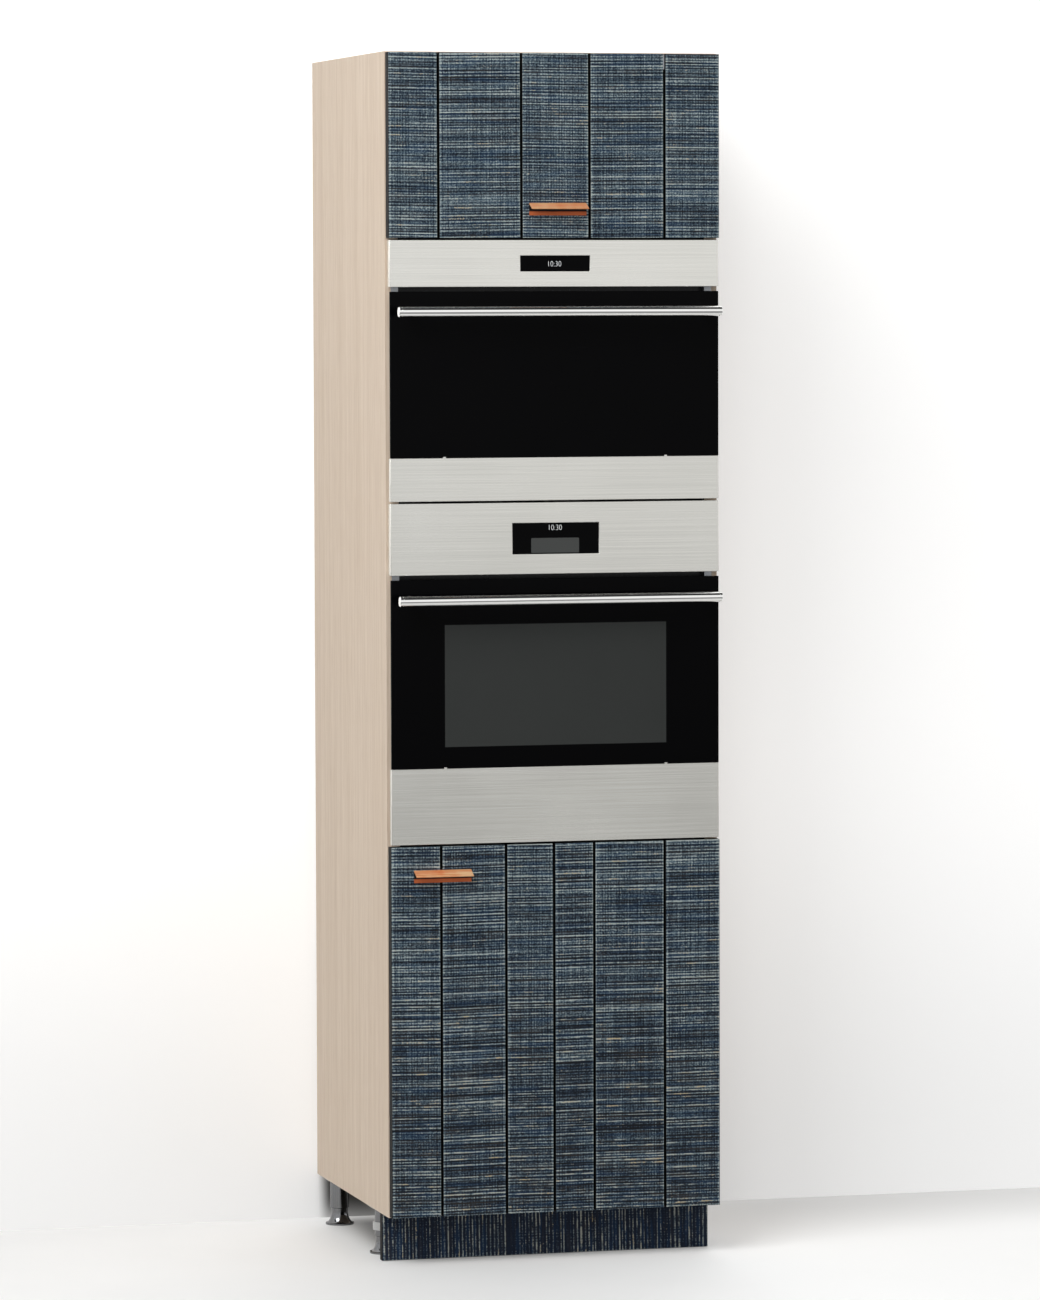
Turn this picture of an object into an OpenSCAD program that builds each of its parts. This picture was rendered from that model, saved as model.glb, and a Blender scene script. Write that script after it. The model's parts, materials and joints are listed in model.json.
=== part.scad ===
// Tall oven housing unit: a floor-standing cabinet that carries a compact oven above a
// full-size oven, with a lift-up flap over them and a hinged door below them.
// Millimetres. +Z is up, the fronts face -Y, and the origin is on the floor under the
// middle of the whole unit. "Depth" below is measured from the carcass front, inwards.

/* [Carcass] */
// Outside width of the carcass
unit_w = 600; // [580:1:660]
// Depth of the side panels
unit_d = 560; // [550:1:640]
// Floor to underside of the carcass
leg_h = 85; // [75:1:150]
// Thickness of the carcass boards
board_t = 18; // [17:1:20]
// Thickness of the back boards
back_t = 8; // [5:1:10]
// Rear edge to the back board
back_inset = 18; // [16:1:24]
// Depth of the groove that holds a back board
groove_depth = 6; // [4:1:8]
// Air gap kept behind the boards that carry the ovens
vent_gap = 50; // [40:1:90]
// Height of the rails that the wall screws pass through
rail_h = 90; // [70:1:120]
// Bottom panel to the underside of the adjustable shelf
shelf_up = 312; // [180:1:440]
// Distance between the two wall screws of a rail
wall_screw_pitch = 400; // [300:10:460]
// Diameter of the wall screw holes
wall_screw_d = 7; // [5:0.5:9]

/* [Fronts] */
// Height of the lift-up flap
flap_h = 321; // [300:1:420]
// Height of the lower door
lower_door_h = 650.5; // [500:0.5:760]
// Gap between one front and the next
front_gap = 3.5; // [3:0.5:5]
// Carcass end to the edge of the nearest front
end_reveal = 2; // [1.5:0.5:3]
// Carcass side to the edge of a door
side_reveal = 1.5; // [1:0.5:3]
// Door back to the carcass front
door_gap = 2; // [2:0.5:4]
// Thickness of a door's backing board
door_board_t = 8; // [6:1:10]
// Thickness of the planks on a door
plank_t = 12; // [10:1:14]
// Open joint between two planks
plank_gap = 3.5; // [2:0.5:6]
// Chamfer on the long edges of a plank
plank_chamfer = 0.8; // [0.4:0.1:1.5]

/* [Pulls] */
// Length of a folded pull
pull_w = 103; // [80:1:160]
// Height of its back plate
pull_h = 22; // [18:1:30]
// Thickness of its sheet
pull_t = 2; // [1.5:0.5:3]
// How far its lip stands out
pull_reach = 20; // [16:1:26]
// How far its lip drops
pull_drop = 9.5; // [6:0.5:12]

/* [Ovens] */
// Carcass side to the edge of an oven front
oven_reveal = 3; // [2:0.5:6]
// Height of the compact oven's front
compact_front_h = 454; // [420:1:500]
// Height of the full-size oven's front
full_front_h = 595; // [560:1:640]
// Height of the compact oven's control panel
compact_panel_h = 81.5; // [70:0.5:110]
// Height of the full-size oven's control panel
full_panel_h = 125; // [90:0.5:140]
// Dark gap between a control panel and the door under it
panel_gap = 8; // [6:0.5:12]
// Height of the steel strip on the compact oven's door
compact_strip_h = 75.5; // [60:0.5:100]
// Height of the steel strip on the full-size oven's door
full_strip_h = 132.5; // [90:0.5:160]
// Width and height of the compact oven's display
compact_display = [125, 27]; // [20:1:200]
// Width and height of the full-size oven's display
full_display = [156, 54]; // [20:1:200]
// Depth of an oven's casing behind the carcass front
casing_depth = 530; // [480:1:540]
// Depth of an oven cavity behind the carcass front
cavity_depth = 430; // [380:1:460]
// Carcass board to the mouth of a cavity, sideways
mouth_inset = 50; // [46:1:67]
// Corner radius of a cavity
mouth_r = 22; // [10:1:40]

/* [Oven handles] */
// Edge of an oven front to the end of its handle bar
bar_inset = 6; // [2:0.5:20]
// Diameter of a handle bar
bar_d = 18; // [14:1:22]
// Door face to the middle of the bar
bar_stand = 40; // [34:1:50]
// Top of the door to the middle of the bar
bar_drop = 35; // [28:1:50]
// Bar end to the middle of a post
post_inset = 26; // [18:1:60]
// Diameter of a post
post_d = 11; // [8:1:14]

/* [Legs and plinth] */
// Diameter of a leg tube
leg_d = 34; // [30:1:40]
// Diameter of a foot's flared base
foot_d = 52; // [44:1:60]
// Carcass side to the middle of a leg
leg_side = 28; // [28:1:60]
// Depth of the front legs
leg_front = 150; // [135:1:180]
// Rear edge to the middle of a rear leg
leg_rear = 60; // [40:1:120]
// Depth of the plinth board's face
plinth_recess = 56; // [40:1:80]
// Thickness of the plinth board
plinth_t = 16; // [12:1:20]

/* [Hinges and struts] */
// Door edge to the hinge axis
hinge_in = 6; // [5:0.5:6.5]
// Door back to the hinge axis
hinge_deep = 14; // [13.5:0.5:14]
// Diameter of the hinge pins
hinge_pin_d = 4; // [3:0.5:4]
// Door end to the middle of a hinge
hinge_end = 90; // [60:1:140]
// Flap axis to each pivot of a gas strut
strut_r = 200; // [190:1:210]
// Angle between a strut's two pivots, seen from the flap axis with the flap shut
strut_spread = 72; // [70:1:74]
// How far the flap opens
flap_open = 95; // [85:1:96]
// Door back to the strut's pivot on the flap
strut_stand = 18; // [16:1:20]
// Running clearance round every pin, on the radius
pin_clear = 0.06; // [0.03:0.01:0.1]

/* [Hidden] */
$fn = 48;

// Small allowances that many pieces share
fit = 0.2;             // between a piece and the recess that it sits in
cut = 1;               // how far a cutting shape runs past the face that it opens

// Front to back. Every y is written as a depth from the carcass front.
door_t = door_board_t + plank_t;
face = -door_gap - door_t;                      // depth of the door faces, in front of the carcass
bar_depth = face - bar_stand;
front_y = (bar_d / 2 - bar_depth - unit_d) / 2; // puts the origin in the middle of the unit
half_w = unit_w / 2;
inner = half_w - board_t;                       // half the clear width inside
door_half = half_w - side_reveal;
front_half = half_w - oven_reveal;
bar_len = 2 * (front_half - bar_inset);
back_depth = unit_d - back_inset - back_t;      // depth of the back boards' front face

// Bottom to top
door_z = leg_h + end_reveal;
door_top = door_z + lower_door_h;
full_z = door_top + front_gap;
full_top = full_z + full_front_h;
compact_z = full_top + front_gap;
compact_top = compact_z + compact_front_h;
flap_z = compact_top + front_gap;
flap_top = flap_z + flap_h;
unit_top = flap_top + end_reveal;
front_cover = 4;                                // how far an oven front laps a board's edge
oven_shelf_z = full_z + front_cover - board_t;
middle_z = full_top - front_cover;
compartment_z = compact_top - front_cover;
top_z = unit_top - board_t;
adjustable_z = leg_h + board_t + shelf_up;
fixed_boards = [leg_h, oven_shelf_z, middle_z, compartment_z, top_z];

// Panel fittings
dowel_d = 8;
dowel_len = 32;
dowel_in_side = 11;
cam_d = 15;
cam_t = 13.4;
cam_reach = 34;                                 // board end to the middle of a cam
cam_bolt_d = 7;
fitting_depths = [70, 430];
fitting_pitch = 32;                             // a dowel stands this far behind each cam
pin_d = 5;
pin_in_side = 9;
pin_depths = [60, 460];
row_count = 5;                                  // shelf-pin holes above and below the pin in use
hole_pitch = 32;
shelf_slack = 1;
shelf_depth = 505;

// Planks: shares of the door's width, as the boards happened to be sawn
flap_shares = [89, 149, 123, 136, 100];
lower_shares = [90, 117, 87, 73, 129, 101];
lower_pull_edge = 41;                           // door edge to the lower door's pull
lower_pull_top = 41;                            // door top to the lower door's pull
flap_pull_bottom = 39;                          // flap bottom to its pull's back plate
flap_pull_shift = 5;                            // the flap's pull sits this far off the middle

// Hinges
axis_depth = -door_gap - hinge_deep;
leaf_cheek_t = 3;
arm_w = 11.6;
arm_play = 0.2;
leaf_half = arm_w / 2 + arm_play + leaf_cheek_t;
eye_d = hinge_pin_d + 3;
notch_len = 27;
notch_floor = axis_depth - eye_d / 2 - 0.6;
arm_t = 3.4;
arm_base_len = 52;
flap_hinge_in = 92;                             // inside of a side panel to the middle of a hinge
flap_hinge_x = inner - flap_hinge_in;

// Gas struts, seen from the side: angles are from straight down, towards the back
flap_axis = [front_y + axis_depth, flap_top - hinge_in];
flap_pivot_angle = asin((hinge_deep + strut_stand) / strut_r);
cabinet_pivot_angle = flap_pivot_angle + strut_spread;
function strut_point(a) = [flap_axis[0] + strut_r * sin(a), flap_axis[1] - strut_r * cos(a)];
flap_pivot = strut_point(flap_pivot_angle);
cabinet_pivot = strut_point(cabinet_pivot_angle);
strut_len = 2 * strut_r * sin(strut_spread / 2);
strut_tilt = 90 - (flap_pivot_angle + cabinet_pivot_angle) / 2;
strut_x = inner - 14;
strut_pin_d = 6;
strut_eye_w = 8;
bracket_t = 2;
bracket_half = 18;
strut_eye_d = 11;
tube_d = 15;
tube_bore = 13;
tube_start = 12;
tube_end = strut_len - 28;
rod_d = 6;
gland_len = 9;
piston_len = 7;
piston_stop = 1.5;                              // piston to gland with the flap wide open
strut_stroke = 2 * strut_r * sin((strut_spread + flap_open) / 2) - strut_len;
piston_start = tube_end - gland_len - piston_stop - piston_len - strut_stroke;

// Ovens, as depths, and as heights over an oven front's bottom edge
oven_axis_depth = face + 8;
oven_axis_up = 12;
skin_t = 4;
tray_t = 1.5;
tray_depth = 11.6;
plate_depth = 16;                               // the sheet round the cavity mouth
plate_t = 1.5;
frame_back = 12;                                // back of a door's inner frame
frame_half = inner - 14;
frame_rail = 22;
inner_glass_t = 4;
casing_half = inner - 4;
casing_t = 1;
casing_top_gap = 12;
flange_w = 12;
flange_stand = fit;                             // casing flange to the edge of the side panel
fascia_depth = 18;
hinge_arm_t = 5;
hinge_arm_gap = 3;
oven_pin_d = 6;
oven_eye_r = 3.6;
mouth_up = 18;                                  // steel strip's top to the cavity mouth
mouth_down = 26;                                // door's top to the cavity mouth
cavity_t = 1.5;
ladder_d = 5;
mouth_half_w = inner - mouth_inset;
ladder_x = mouth_half_w - 5;
rack_d = 6;
rack_up = 40;                                   // cavity floor to the rung that holds the rack
rung_pitch = 60;
rung_headroom = 50;                             // top rung to the cavity ceiling, at least
rack_depth = 370;
element_d = 6.5;
element_down = 24;

// An oven's sizes: [front bottom, front height, panel height, strip height, board top, board above]
upper_oven = [compact_z, compact_front_h, compact_panel_h, compact_strip_h,
              middle_z + board_t, compartment_z];
lower_oven = [full_z, full_front_h, full_panel_h, full_strip_h,
              oven_shelf_z + board_t, middle_z];
function oven_door_top(o) = o[0] + o[1] - o[2] - panel_gap;
function strip_top(o) = o[0] + o[3];
function mouth_z(o) = [strip_top(o) + mouth_up, oven_door_top(o) - mouth_down];
function bar_z(o) = oven_door_top(o) - bar_drop;

// Materials' colours
oak = [0.86, 0.79, 0.71];
black_board = [0.07, 0.07, 0.08];
blue_wood = [0.25, 0.32, 0.39];
copper = [0.80, 0.45, 0.26];
steel = [0.80, 0.80, 0.77];
zinc = [0.62, 0.63, 0.65];
enamel = [0.13, 0.13, 0.15];
dark_glass = [0.03, 0.03, 0.04];
bright = [0.85, 0.86, 0.88];

// ---- General shapes ----

// A box from side to side, between two depths and two heights
module box(x0, x1, d0, d1, z0, z1) {
    translate([x0, front_y + d0, z0]) cube([x1 - x0, d1 - d0, z1 - z0]);
}

module wide_box(half, d0, d1, z0, z1) {
    box(-half, half, d0, d1, z0, z1);
}

// A rod along X, Y or Z. The Y rod starts at a depth and runs inwards.
module rod_x(x0, x1, y, z, d) {
    translate([x0, y, z]) rotate([0, 90, 0]) cylinder(h = x1 - x0, d = d);
}

module rod_y(x, d0, d1, z, d) {
    translate([x, front_y + d0, z]) rotate([-90, 0, 0]) cylinder(h = d1 - d0, d = d);
}

module rod_z(x, depth, z0, z1, d) {
    translate([x, front_y + depth, z0]) cylinder(h = z1 - z0, d = d);
}

module both_sides() {
    children();
    mirror([1, 0, 0]) children();
}

// A quarter arc of points round [x, y], from angle a to a + 90
function corner(x, y, r, a) = [for (i = [0:6]) [x + r * cos(a + i * 15), y + r * sin(a + i * 15)]];

function rounded_outline(w, h, r) = concat(
    corner(w / 2 - r, h / 2 - r, r, 0), corner(-w / 2 + r, h / 2 - r, r, 90),
    corner(-w / 2 + r, -h / 2 + r, r, 180), corner(w / 2 - r, -h / 2 + r, r, 270));

// A round-cornered block between two depths, for the oven cavities and their seals
module rounded_block(w, z0, z1, r, d0, d1) {
    translate([0, front_y + d1, (z0 + z1) / 2]) rotate([90, 0, 0])
        linear_extrude(d1 - d0) polygon(rounded_outline(w, z1 - z0, r));
}

// ---- Carcass ----

// The dowels and cams that pin one board to both sides: a cam and, behind it, a dowel
module board_dowels(z, grow = 0) {
    for (depth = fitting_depths)
        both_sides()
            rod_x(inner - dowel_len + dowel_in_side, inner + dowel_in_side + grow,
                  front_y + depth + fitting_pitch, z + board_t / 2, dowel_d + grow);
}

module board_cams(z, grow = 0) {
    for (depth = fitting_depths)
        both_sides()
            rod_z(inner - cam_reach, depth, z - grow, z + cam_t + grow / 2, cam_d + grow);
}

module board_bolts(z, grow = 0) {
    for (depth = fitting_depths)
        both_sides()
            rod_x(inner - cam_reach + (grow > 0 ? 0 : cam_d / 2 + fit), inner + dowel_in_side + grow,
                  front_y + depth, z + board_t / 2, cam_bolt_d + grow);
}

// A fixed board between the sides, bored for its dowels and cams
module fixed_board(z, depth_end) {
    difference() {
        wide_box(inner, 0, depth_end, z, z + board_t);
        board_dowels(z, fit);
        board_cams(z, fit);
        board_bolts(z, fit);
    }
}

module back_groove() {
    wide_box(inner + groove_depth + fit, back_depth - fit, back_depth + back_t + fit,
             leg_h + board_t - groove_depth - fit, oven_shelf_z + board_t + fit);
    wide_box(inner + groove_depth + fit, back_depth - fit, back_depth + back_t + fit,
             compartment_z, top_z + groove_depth + fit);
}

module shelf_pin_holes() {
    for (depth = pin_depths)
        for (i = [-row_count:row_count])
            rod_x(inner - cut, inner + pin_in_side + cut,
                  front_y + depth, adjustable_z - pin_d / 2 + i * hole_pitch, pin_d + fit);
}

module side_panel() {
    color(oak) difference() {
        box(inner, half_w, 0, unit_d, leg_h, unit_top);
        back_groove();
        for (z = fixed_boards) {
            board_dowels(z, fit);
            board_bolts(z, fit);
        }
        shelf_pin_holes();
    }
}

module side_panel_right() {
    side_panel();
}

module side_panel_left() {
    mirror([1, 0, 0]) side_panel();
}

module top_panel() {
    color(oak) difference() {
        fixed_board(top_z, unit_d);
        back_groove();
    }
}

module bottom_panel() {
    color(oak) difference() {
        fixed_board(leg_h, unit_d);
        back_groove();
    }
}

// The boards under the ovens stop short of the back, so that air can rise behind them
module oven_shelf() {
    color(oak) fixed_board(oven_shelf_z, unit_d - vent_gap);
}

module middle_shelf() {
    color(oak) fixed_board(middle_z, unit_d - vent_gap);
}

module compartment_shelf() {
    color(oak) fixed_board(compartment_z, back_depth - fit);
}

module adjustable_shelf() {
    color(oak) wide_box(inner - shelf_slack, 20, shelf_depth, adjustable_z, adjustable_z + board_t);
}

// A shelf pin has a peg in the side panel and a flat spoon under the shelf
module shelf_pins() {
    spoon = 12;
    color(zinc) both_sides()
        for (depth = pin_depths) {
            rod_x(inner - spoon, inner + pin_in_side,
                  front_y + depth, adjustable_z - pin_d / 2, pin_d);
            box(inner - spoon, inner - fit, depth - pin_d, depth + pin_d,
                adjustable_z - 1.5, adjustable_z);
            box(inner - 1.5, inner - fit / 2, depth - pin_d, depth + pin_d,
                adjustable_z - 10, adjustable_z);
        }
}

module wall_screw_holes(z) {
    for (side = [-1, 1])
        rod_y(side * wall_screw_pitch / 2, back_depth - cut, unit_d + cut, z, wall_screw_d);
}

function rail_mid(z_above) = z_above - rail_h / 2;

// Thin boards in the grooves, behind the flap's compartment and behind the lower one.
// The upper one is bored so that the wall screws reach the rail behind it.
module back_panels() {
    color(oak) difference() {
        wide_box(inner + groove_depth, back_depth, back_depth + back_t,
                 compartment_z, top_z + groove_depth);
        wall_screw_holes(rail_mid(top_z));
    }
    color(oak) wide_box(inner + groove_depth, back_depth, back_depth + back_t,
                        leg_h + board_t - groove_depth, oven_shelf_z + board_t);
}

// One rail under the top and one at the head of each oven's niche
module fixing_rails() {
    color(oak)
        for (z = [top_z, compartment_z, middle_z])
            difference() {
                wide_box(inner, back_depth + back_t + fit, unit_d, z - rail_h, z);
                wall_screw_holes(rail_mid(z));
            }
}

module dowels() {
    color([0.80, 0.66, 0.46])
        for (z = fixed_boards)
            board_dowels(z);
}

// Each lock is a slotted cam in the board and a headed bolt in the side panel
module cam_locks() {
    color(zinc)
        for (z = fixed_boards) {
            difference() {
                board_cams(z);
                for (depth = fitting_depths)
                    both_sides()
                        box(inner - cam_reach - 4, inner - cam_reach + 4,
                            depth - 1, depth + 1, z - cut, z + 3);
            }
            board_bolts(z);
        }
}

// ---- Legs and plinth ----

leg_points = [[-1, leg_front], [1, leg_front], [-1, unit_d - leg_rear], [1, unit_d - leg_rear]];
leg_x = half_w - leg_side;
flange_side = 50;
flange_t = 3;
stud_d = 10;
stud_top = leg_h - 14;
foot_neck_z = 30;

module at_leg(i) {
    translate([leg_points[i][0] * leg_x, front_y + leg_points[i][1], 0]) children();
}

// A screwed flange under the carcass and the tube that the foot's stud turns in
module leg() {
    difference() {
        union() {
            translate([-flange_side / 2, -flange_side / 2, leg_h - flange_t])
                cube([flange_side, flange_side, flange_t]);
            translate([0, 0, foot_neck_z + 1])
                cylinder(h = leg_h - flange_t - foot_neck_z - 1 + fit, d = leg_d);
        }
        translate([0, 0, foot_neck_z])
            cylinder(h = stud_top + 2 - foot_neck_z, r = stud_d / 2 + pin_clear);
    }
}

module legs() {
    color(bright) for (i = [0:3]) at_leg(i) leg();
}

// A levelling foot: a bell that flares to the floor, with a threaded stud above it
module foot() {
    neck_r = leg_d / 2 - 2;
    base_r = foot_d / 2;
    flare_z = foot_neck_z - 6;
    rim = 3;
    flare = [for (a = [0:15:90])
        [base_r - (base_r - neck_r) * sin(a), rim + (flare_z - rim) * (1 - cos(a))]];
    color(bright) rotate_extrude($fn = 64)
        polygon(concat([[0, 0], [base_r, 0]], flare,
                       [[neck_r, foot_neck_z], [stud_d / 2, foot_neck_z],
                        [stud_d / 2, stud_top], [0, stud_top]]));
}

module foot_front_left() {
    at_leg(0) foot();
}

module foot_front_right() {
    at_leg(1) foot();
}

module foot_rear_left() {
    at_leg(2) foot();
}

module foot_rear_right() {
    at_leg(3) foot();
}

plinth_floor = 1;
plinth_head = 2;

module plinth_board() {
    color(blue_wood) wide_box(door_half, plinth_recess, plinth_recess + plinth_t,
                              plinth_floor, leg_h - plinth_head);
}

// A clip screwed to the plinth board, whose open ring snaps round a front leg
module plinth_clips() {
    ring_d = leg_d + 7;
    clip_z = foot_neck_z + 12;
    clip_h = 14;
    board_back = plinth_recess + plinth_t;
    color(black_board) both_sides() difference() {
        union() {
            box(leg_x - 20, leg_x + 20, board_back, board_back + 3, clip_z - 6, clip_z + clip_h + 6);
            box(leg_x - 7, leg_x + 7, board_back + 2, leg_front - leg_d / 2, clip_z, clip_z + clip_h);
            rod_z(leg_x, leg_front, clip_z, clip_z + clip_h, ring_d);
        }
        rod_z(leg_x, leg_front, clip_z - cut, clip_z + clip_h + cut, leg_d + fit);
        box(leg_x - leg_d * 0.4, leg_x + leg_d * 0.4, leg_front, leg_front + ring_d,
            clip_z - cut, clip_z + clip_h + cut);
    }
}

// ---- Doors ----

function sum_to(v, n) = n == 0 ? 0 : v[n - 1] + sum_to(v, n - 1);

// One plank, seen from above: its two front edges are chamfered
module plank(x0, x1, z0, z1) {
    c = plank_chamfer;
    translate([0, front_y, z0]) linear_extrude(z1 - z0)
        polygon([[x0, face + plank_t], [x0, face + c], [x0 + c, face],
                 [x1 - c, face], [x1, face + c], [x1, face + plank_t]]);
}

// Planks side by side over the door's width, with an open joint between each two
module planks(shares, z0, z1) {
    total = sum_to(shares, len(shares));
    for (i = [0:len(shares) - 1]) {
        left = -door_half + 2 * door_half * sum_to(shares, i) / total;
        right = -door_half + 2 * door_half * sum_to(shares, i + 1) / total;
        plank(left + (i == 0 ? 0 : plank_gap / 2),
              right - (i == len(shares) - 1 ? 0 : plank_gap / 2), z0, z1);
    }
}

module backing_board(z0, z1) {
    wide_box(door_half, -door_gap - door_board_t, -door_gap, z0, z1);
}

// A pull folded from one sheet: a flat back plate, and a lip that slopes out from its top
module pull(x0, z_top) {
    slope = atan(pull_drop / pull_reach);
    lip_end = [pull_reach, -pull_drop];
    under = [-pull_t * sin(slope), -pull_t * cos(slope)];
    inside_z = -pull_t / cos(slope) - pull_t * tan(slope);
    color(copper) translate([x0, front_y + face, z_top]) rotate([90, 0, 90])
        linear_extrude(pull_w)
            polygon([[0, -pull_h], [0, 0], [-lip_end[0], lip_end[1]],
                     [-lip_end[0] - under[0], lip_end[1] + under[1]],
                     [-pull_t, inside_z], [-pull_t, -pull_h]]);
}

// The milled-in single-pivot hinge. Local axes: x from the door's edge into the door,
// y as depth from the carcass front, z along the hinge axis.
module hinge_notch() {
    translate([-cut, notch_floor - fit, -leaf_half - fit])
        cube([notch_len + cut, -notch_floor + 2 * fit, 2 * leaf_half + 2 * fit]);
}

// Door side: two cheeks in the notch that hold the pin, and a flange on the door's back
module hinge_leaf() {
    flange_half = 17;
    color(zinc) {
        for (side = [-1, 1])
            translate([0, 0, side * (leaf_half - leaf_cheek_t / 2)])
                linear_extrude(leaf_cheek_t, center = true)
                    polygon([[1.5, notch_floor], [notch_len - fit, notch_floor],
                             [notch_len - fit, -door_gap + 0.5],
                             [notch_len - 8, -door_gap + 0.5], [1.5, -door_gap - 4]]);
        translate([hinge_in, axis_depth, 0])
            cylinder(h = 2 * leaf_half - 1, d = hinge_pin_d, center = true);
        translate([notch_len - 5, -door_gap + fit / 4, -flange_half])
            cube([25, 1.2, 2 * flange_half]);
        translate([notch_len - 2, notch_floor, -leaf_half + 1])
            cube([2 - fit, -door_gap - notch_floor + fit, 2 * leaf_half - 2]);
    }
}

// Carcass side: an eye round the pin, a neck that cranks round the board's front edge,
// and a flat arm on the board's inner face
module hinge_arm(board_inside) {
    near = board_inside + 0.6;
    far = near + arm_t;
    half = 2.1;
    color(zinc) {
        difference() {
            linear_extrude(arm_w, center = true) union() {
                translate([hinge_in, axis_depth]) circle(d = eye_d);
                polygon([[hinge_in - half, axis_depth + half], [hinge_in + half, axis_depth - half],
                         [far, axis_depth - half + far - hinge_in - half],
                         [far, arm_base_len + 8], [near, arm_base_len + 8],
                         [near, axis_depth + half + near - hinge_in + half - 1.2]]);
            }
            translate([hinge_in, axis_depth, 0])
                cylinder(h = arm_w + 2 * cut, r = hinge_pin_d / 2 + pin_clear, center = true);
        }
        difference() {
            translate([board_inside, 12, -20]) cube([1.5, arm_base_len - 4, 40]);
            for (side = [-1, 1])
                translate([board_inside - cut, 36, side * 14]) rotate([0, 90, 0])
                    cylinder(h = 4, d = 5, $fn = 24);
        }
    }
}

// Places for the hinges: the lower door hangs on its right, the flap on its top edge
module at_lower_hinges() {
    for (z = [door_z + hinge_end, door_top - hinge_end])
        translate([door_half, front_y, z]) mirror([1, 0, 0]) children();
}

module at_flap_hinges() {
    for (x = [-flap_hinge_x, flap_hinge_x])
        translate([x, front_y, flap_top]) rotate([0, 90, 0]) children();
}

module lower_door_board() {
    color(black_board) difference() {
        backing_board(door_z, door_top);
        at_lower_hinges() hinge_notch();
    }
}

module lower_door_planks() {
    color(blue_wood) difference() {
        planks(lower_shares, door_z, door_top);
        at_lower_hinges() hinge_notch();
    }
}

module lower_door_handle() {
    pull(-door_half + lower_pull_edge, door_top - lower_pull_top);
}

module lower_door_hinge_leaves() {
    at_lower_hinges() hinge_leaf();
}

module lower_door_hinge_arms() {
    at_lower_hinges() hinge_arm(board_t - side_reveal);
}

module flap_board() {
    color(black_board) difference() {
        backing_board(flap_z, flap_top);
        at_flap_hinges() hinge_notch();
    }
}

module flap_planks() {
    color(blue_wood) difference() {
        planks(flap_shares, flap_z, flap_top);
        at_flap_hinges() hinge_notch();
    }
}

module flap_handle() {
    pull(-pull_w / 2 + flap_pull_shift, flap_z + flap_pull_bottom + pull_h);
}

module flap_hinge_leaves() {
    at_flap_hinges() hinge_leaf();
}

module flap_hinge_arms() {
    at_flap_hinges() hinge_arm(board_t - end_reveal);
}

// ---- Gas struts of the flap ----

// Local axes of a strut: x across the unit, z from the cabinet's pivot to the flap's
module at_strut() {
    both_sides()
        translate([strut_x, cabinet_pivot[0], cabinet_pivot[1]]) rotate([90 + 90 - strut_tilt, 0, 0])
            children();
}

module strut_eye(z) {
    translate([-strut_eye_w / 2, 0, z]) rotate([0, 90, 0]) difference() {
        cylinder(h = strut_eye_w, d = strut_eye_d);
        translate([0, 0, -cut])
            cylinder(h = strut_eye_w + 2 * cut, r = strut_pin_d / 2 + pin_clear);
    }
}

// The tube and its bore, turned: closed at the eye, with a gland round the rod
module strut_cylinders() {
    gland_r = rod_d / 2 + pin_clear;
    color(enamel) at_strut() {
        rotate_extrude() polygon([
            [0, tube_start], [tube_d / 2 - 2, tube_start], [tube_d / 2, tube_start + 2],
            [tube_d / 2, tube_end - 1], [tube_d / 2 - 1, tube_end], [gland_r, tube_end],
            [gland_r, tube_end - gland_len], [tube_bore / 2, tube_end - gland_len],
            [tube_bore / 2, tube_start + 4], [0, tube_start + 4]]);
        difference() {
            translate([0, 0, 3]) cylinder(h = tube_start - 2, d = 7);
            translate([-strut_eye_w, 0, 0]) rotate([0, 90, 0])
                cylinder(h = 2 * strut_eye_w, d = strut_eye_d - 1);
        }
        strut_eye(0);
    }
}

module strut_rods() {
    color(bright) at_strut() {
        difference() {
            translate([0, 0, piston_start]) cylinder(h = strut_len - piston_start - 3, d = rod_d);
            translate([-strut_eye_w, 0, strut_len]) rotate([0, 90, 0])
                cylinder(h = 2 * strut_eye_w, d = strut_eye_d - 1);
        }
        translate([0, 0, piston_start])
            cylinder(h = piston_len, r = tube_bore / 2 - 2 * pin_clear);
        strut_eye(strut_len);
    }
}

// A pin with a head, from a cheek at x0 towards the middle of the unit
module strut_pin(x0, pivot) {
    inside = strut_x - strut_eye_w / 2 - 1;
    rod_x(inside, x0, pivot[0], pivot[1], strut_pin_d);
    rod_x(inside - 2, inside, pivot[0], pivot[1], strut_pin_d + 3);
}

module strut_cabinet_brackets() {
    color(zinc) both_sides() {
        translate([inner - bracket_t, cabinet_pivot[0] - bracket_half, cabinet_pivot[1] - 26])
            cube([bracket_t, 2 * bracket_half, 2 * bracket_half]);
        strut_pin(inner - bracket_t, cabinet_pivot);
    }
}

module strut_flap_brackets() {
    cheek_x = strut_x + strut_eye_w / 2 + 3.5;
    foot_x = strut_x - 12;
    back_y = front_y - door_gap;
    cheek_half = 8;
    color(zinc) both_sides() {
        translate([foot_x, back_y, flap_pivot[1] - bracket_half])
            cube([cheek_x + bracket_t - foot_x, bracket_t, 2 * bracket_half]);
        translate([cheek_x, back_y, flap_pivot[1] - cheek_half])
            cube([bracket_t, strut_stand, 2 * cheek_half]);
        rod_x(cheek_x, cheek_x + bracket_t, flap_pivot[0], flap_pivot[1], 2 * cheek_half);
        strut_pin(cheek_x, flap_pivot);
    }
}

// ---- Ovens ----

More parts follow.
